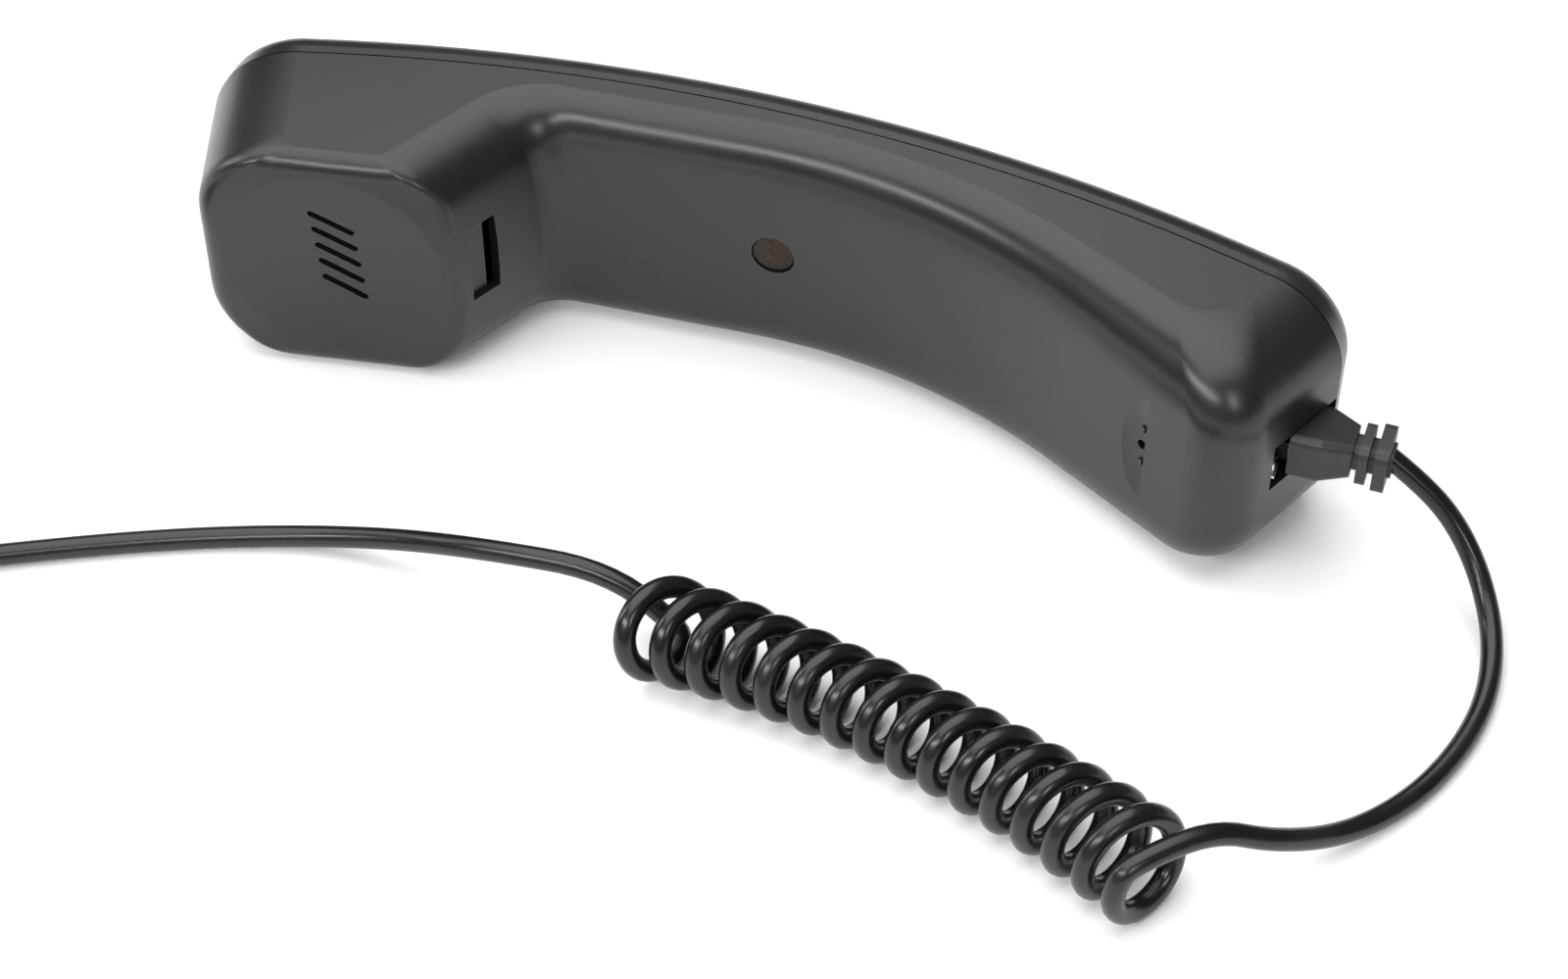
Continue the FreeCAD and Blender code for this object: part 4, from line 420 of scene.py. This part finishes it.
# Host plug's contacts: phosphor bronze, stamped and gold plated. They carry fine marks from stamping.
bronze_gold, tree, place = new_material("phosphor_bronze_gold_plated")
stamped = mottle(tree, place, 0.6, {})
gloss = gloss_range(tree, stamped, 0.16, 0.28)
surface(tree, {"Base Color": linear("dcae4e"), "Roughness": gloss, "Metallic": 1.0})
finish_nodes(("host_plug_contacts",), bronze_gold)

# Cord: four wires in a round jacket of extruded soft PVC, 3.9 mm across and 1.85 m long. It drops from the mini
# plug to the table and runs on as fifteen and a half turns that were wound on a rod and set by heat. The rest,
# which lies left of the picture, is put away in a round coil. The far end goes into the host plug's body.
cord_size = 3.9
cord_route = (
    (116.6, -6.25, 25.75),
    (124.0, -6.6, 21.0),
    (131.0, -8.0, 14.2),
    (137.0, -13.0, 7.4),
    (141.2, -22.0, 2.9),
    (142.3, -34.0, 1.95),
    (139.8, -47.0, 1.95),
    (134.5, -59.0, 1.95),
    (126.2, -70.3, 3.4),
    (116.4, -81.0, 10.5),
    (106.8, -86.5, 16.4),
)
curl_path_x = (100.91, -91.21, -0.66)
curl_path_y = (-93.85, 47.02, -23.19)
curl_radii = (8.31, -6.07, 5.33)
curl_lean_far = (0.115, 0.2415)
curl_lean_up = (-0.133, -0.285)
curl_turns = 15.0
curl_start = 0.12
curl_stop = 15.62
curl_points = 16
host_exit = (-4.3, -63.0, 12.2)
host_route = (
    (-24.5, -64.9, 12.0),
    (-42.0, -63.0, 6.6),
    (-58.0, -63.9, 2.8),
    (-74.0, -68.8, 2.0),
    (-90.0, -75.9, 2.1),
    (-106.0, -84.1, 2.3),
    (-121.0, -92.4, 2.5),
    (-136.0, -100.8, 2.5),
)
coil_radius = 25.3
coil_pitch = 4.35
coil_inward = 5
coil_stub = 4.0
coil_points = 8
tail_steps = ((10.0, 0.0), (24.0, -2.5), (38.0, -2.5))


def along_curl(terms, share):
    return terms[0] + terms[1] * share + terms[2] * share * share


def curl_place(turns):
    share = turns / curl_turns
    slope_x = curl_path_x[1] + 2.0 * curl_path_x[2] * share
    slope_y = curl_path_y[1] + 2.0 * curl_path_y[2] * share
    ahead = Vector((-slope_x, -slope_y, 0.0)).normalized()
    far = Vector((-ahead.y, ahead.x, 0.0))
    radius = along_curl(curl_radii, share)
    angle = math.pi / 2.0 + 2.0 * math.pi * turns
    wide = radius / math.cos(math.pi / curl_points)
    out = wide * math.cos(angle)
    up = wide * math.sin(angle)
    lean = (curl_lean_far[0] + curl_lean_far[1] * share) * out
    lean = lean + (curl_lean_up[0] + curl_lean_up[1] * share) * up
    centre = Vector((along_curl(curl_path_x, share), along_curl(curl_path_y, share), cord_size / 2.0 + radius))
    return centre + far * out + Vector((0.0, 0.0, up)) + ahead * lean


def coil_places():
    start = Vector(host_route[-1])
    run = start - Vector(host_route[-2])
    run.z = 0.0
    run.normalize()
    here = start + run * coil_stub
    low = here.z
    radius = coil_radius
    step = coil_pitch / 2.0
    places = []
    for half in range(2 * coil_inward + 2):
        side = Vector((run.y, -run.x, 0.0))
        centre = here + side * radius
        wide = radius / math.cos(math.pi / (2.0 * coil_points))
        for index in range(coil_points):
            share = (index + 0.5) / coil_points
            angle = math.pi * share
            place = centre - side * (wide * math.cos(angle)) + run * (wide * math.sin(angle))
            if half < coil_inward:
                place.z = low
            elif half == coil_inward:
                place.z = low + coil_pitch * share
            else:
                place.z = low + coil_pitch
            places.append(place)
        here = centre + side * radius
        radius = radius - step if half < coil_inward else radius + step
        run = run * -1.0
    here.z = low + coil_pitch
    end = here + run * coil_stub
    places.append(end)
    for ahead, drop in tail_steps:
        places.append(end + run * ahead + Vector((0.0, 0.0, drop)))
    return places


cord_places = list(cord_route)
curl_count = int((curl_stop - curl_start) * curl_points)
for index in range(curl_count + 1):
    cord_places.append(curl_place(curl_start + (curl_stop - curl_start) * index / curl_count))
cord_places.append(host_exit)
cord_places.extend(host_route)
cord_places.extend(coil_places())
cord_data = bpy.data.curves.new("cord_jacket", "CURVE")
cord_data.dimensions = "3D"
cord_line = cord_data.splines.new("NURBS")
cord_line.points.add(len(cord_places) - 1)
for point, place in zip(cord_line.points, cord_places):
    at = spot(*place)
    point.co = (at.x, at.y, at.z, 1.0)
    point.radius = cord_size / 2.0 / 1000.0
cord_line.order_u = 3
cord_line.use_endpoint_u = True
cord_line.resolution_u = 6
cord_data.bevel_depth = 1.0
cord_data.bevel_resolution = 7
cord_data.use_fill_caps = True
cord = shown("cord_jacket", cord_data)
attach(cord, "cord")
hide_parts("handset_cord", "curled_cord", "host_cord", "stored_coil", "tail_cord")

# Extruded soft PVC: near black and glossier than the mouldings, with long clean highlights. Extrusion leaves a
# slight waviness 3 mm long, and handling leaves duller patches.
pvc_extruded, tree, place = new_material("pvc_extruded_soft")
handled = mottle(tree, place, 11.0, {"Detail": 4.0})
gloss = gloss_range(tree, handled, 0.22, 0.32)
tone = tone_ramp(tree, handled, (0.35, "0c0c0d"), (0.7, "131314"))
waves = mottle(tree, place, 3.0, {"Detail": 1.0})
relief = relief_from(tree, waves, 0.15, 0.2)
surface(tree, {
    "Base Color": tone, "Roughness": gloss, "Normal": relief, "IOR": 1.54, "Specular IOR Level": 0.42})
cord_data.materials.append(pvc_extruded)

# Coil tie: a strap of woven nylon, 6 mm wide, closed round the put-away turns with its end lapped on top.
tie_wide = 6.0
tie_thick = 0.55
tie_corner = 1.6
tie_steps = 7
tie_lap = 9.0
tie_lift = 0.58
tie_rise = 1.5
tie_short = 2.6
tie_turns_in = 3.0
tie_room_in = 0.75
tie_room = 0.3
tie_above_floor = 0.02
tie_edge_round = 0.1
tie_run = Vector(host_route[-1]) - Vector(host_route[-2])
tie_run.z = 0.0
tie_run.normalize()
tie_out = Vector((-tie_run.y, tie_run.x, 0.0))
tie_centre = Vector(host_route[-1]) + tie_run * coil_stub - tie_out * coil_radius
tie_inner = coil_radius - tie_turns_in * coil_pitch - cord_size / 2.0 - tie_room_in
tie_outer = coil_radius + cord_size / 2.0 + tie_room
tie_low = tie_thick + tie_above_floor
tie_high = host_route[-1][2] + coil_pitch + cord_size / 2.0 + tie_room
tie_path = []
for corner_x, corner_z, first in (
    (tie_outer - tie_corner, tie_high - tie_corner, 90.0),
    (tie_outer - tie_corner, tie_low + tie_corner, 0.0),
    (tie_inner + tie_corner, tie_low + tie_corner, -90.0),
    (tie_inner + tie_corner, tie_high - tie_corner, -180.0),
):
    for step in range(tie_steps + 1):
        turn = math.radians(first - 90.0 * step / tie_steps)
        across = Vector((math.cos(turn), math.sin(turn)))
        tie_path.append((Vector((corner_x, corner_z)) + across * tie_corner, across))
tie_path.insert(0, (Vector((tie_outer - tie_lap, tie_high)), Vector((0.0, 1.0))))
for tie_back in (tie_lap + tie_rise, tie_short):
    tie_path.append((Vector((tie_outer - tie_back, tie_high + tie_lift)), Vector((0.0, 1.0))))
shape = bmesh.new()
tie_rows = []
for middle, across in tie_path:
    row = []
    for side in (-0.5, 0.5):
        for level in (0.0, 1.0):
            at = middle + across * (level * tie_thick)
            put = tie_centre + tie_out * at.x + tie_run * (side * tie_wide)
            row.append(shape.verts.new(spot(put.x, put.y, at.y)))
    tie_rows.append(row)
for before, after in zip(tie_rows, tie_rows[1:]):
    for a, b in ((0, 1), (1, 3), (3, 2), (2, 0)):
        shape.faces.new((before[a], before[b], after[b], after[a]))
for row in (tie_rows[0], tie_rows[-1]):
    shape.faces.new((row[0], row[1], row[3], row[2]))
bmesh.ops.recalc_face_normals(shape, faces=shape.faces)
tie_mesh = bpy.data.meshes.new("coil_strap")
shape.to_mesh(tie_mesh)
shape.free()
coil_strap = shown("coil_strap", tie_mesh)
strap_round = coil_strap.modifiers.new("edge_round", "BEVEL")
strap_round.width = tie_edge_round / 1000.0
strap_round.segments = 2
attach(coil_strap, "cord")
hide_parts("coil_tie")

# Woven nylon: a close twill that shows as fine slanting ribs, 0.4 mm apart and drawn at 0.7 mm.
tie_rib_mm = 0.7
nylon_woven, tree, place = new_material("nylon_woven_strap")
ribs = add_node(tree, "ShaderNodeTexWave", {"bands_direction": "DIAGONAL"}, {
    "Vector": place, "Scale": bands_per_mm(tie_rib_mm), "Distortion": 0.6})
tone = tone_ramp(tree, ribs.outputs["Fac"], (0.0, "0e0e0f"), (1.0, "2b2b2d"))
relief = relief_from(tree, ribs.outputs["Fac"], 0.6, 0.1)
surface(tree, {"Base Color": tone, "Roughness": 0.75, "Normal": relief, "Sheen Weight": 0.2})
tie_mesh.materials.append(nylon_woven)

# Table: a plain white sheet of matt card that lies flat and is wide enough to fill the picture.
# It is not part of the handset.
floor_half = 3.0
floor_mesh = bpy.data.meshes.new("floor")
floor_mesh.from_pydata(
    [(-floor_half, -floor_half, 0.0), (floor_half, -floor_half, 0.0),
     (floor_half, floor_half, 0.0), (-floor_half, floor_half, 0.0)], [], [(0, 1, 2, 3)])
floor = shown("floor", floor_mesh)
card_white, tree, place = new_material("card_white_matt")
fibres = mottle(tree, place, 60.0, {})
tone = tone_ramp(tree, fibres, (0.0, "f3f3f3"), (1.0, "f8f8f8"))
surface(tree, {"Base Color": tone, "Roughness": 0.9, "Specular IOR Level": 0.2})
floor_mesh.materials.append(card_white)

# Light: soft boxes, as in a small studio. A large one hangs overhead, and a long narrow one on the camera's
# side draws the bright line along the inner edge. A card low in front fills the dark beside that line,
# and a narrow box at the right and a taller one at the left edge the two ends.
light_target = Vector((0.0, -0.02, 0.02))
world_strength = 0.18


def soft_box(name, toward, distance, wide, tall, power):
    data = bpy.data.lights.new(name, "AREA")
    data.shape = "RECTANGLE"
    data.size = wide
    data.size_y = tall
    data.energy = power
    lamp = bpy.data.objects.new(name, data)
    bpy.context.scene.collection.objects.link(lamp)
    run = Vector(toward).normalized()
    lamp.location = light_target + run * distance
    lamp.rotation_euler = (-run).to_track_quat("-Z", "Y").to_euler()


soft_box("overhead_box", (-0.15, 0.16, 0.95), 1.25, 1.5, 1.9, 26.0)
soft_box("camera_side_box", (-0.23, -0.72, 0.65), 1.3, 1.2, 0.18, 10.5)
soft_box("front_card", (-0.23, -1.0, 0.3), 1.3, 1.8, 0.55, 0.8)
soft_box("right_front_box", (0.62, -0.62, 0.6), 1.3, 0.14, 0.45, 2.6)
soft_box("left_box", (-0.95, -0.05, 0.42), 1.2, 0.35, 0.7, 4.0)
world = bpy.data.worlds.new("studio")
bpy.context.scene.world = world
world.use_nodes = True
backdrop = world.node_tree.nodes["Background"]
backdrop.inputs["Color"].default_value = (1.0, 1.0, 1.0, 1.0)
backdrop.inputs["Strength"].default_value = world_strength
bpy.context.scene.view_settings.view_transform = "Standard"

# View: from the mouth side, 46 degrees above the table, 0.6 m away, through a 76.5 mm lens.
view_lens = 76.5
view_from = spot(149.1, -413.2, 432.3)
view_to = spot(13.9, -24.2, 0.0)
camera_data = bpy.data.cameras.new("view_camera")
camera_data.lens = view_lens
camera_data.sensor_width = 36.0
camera_data.clip_start = 0.01
camera = bpy.data.objects.new("view_camera", camera_data)
bpy.context.scene.collection.objects.link(camera)
camera.location = view_from
camera.rotation_euler = (view_to - view_from).to_track_quat("-Z", "Y").to_euler()
bpy.context.scene.camera = camera

bpy.context.view_layer.update()
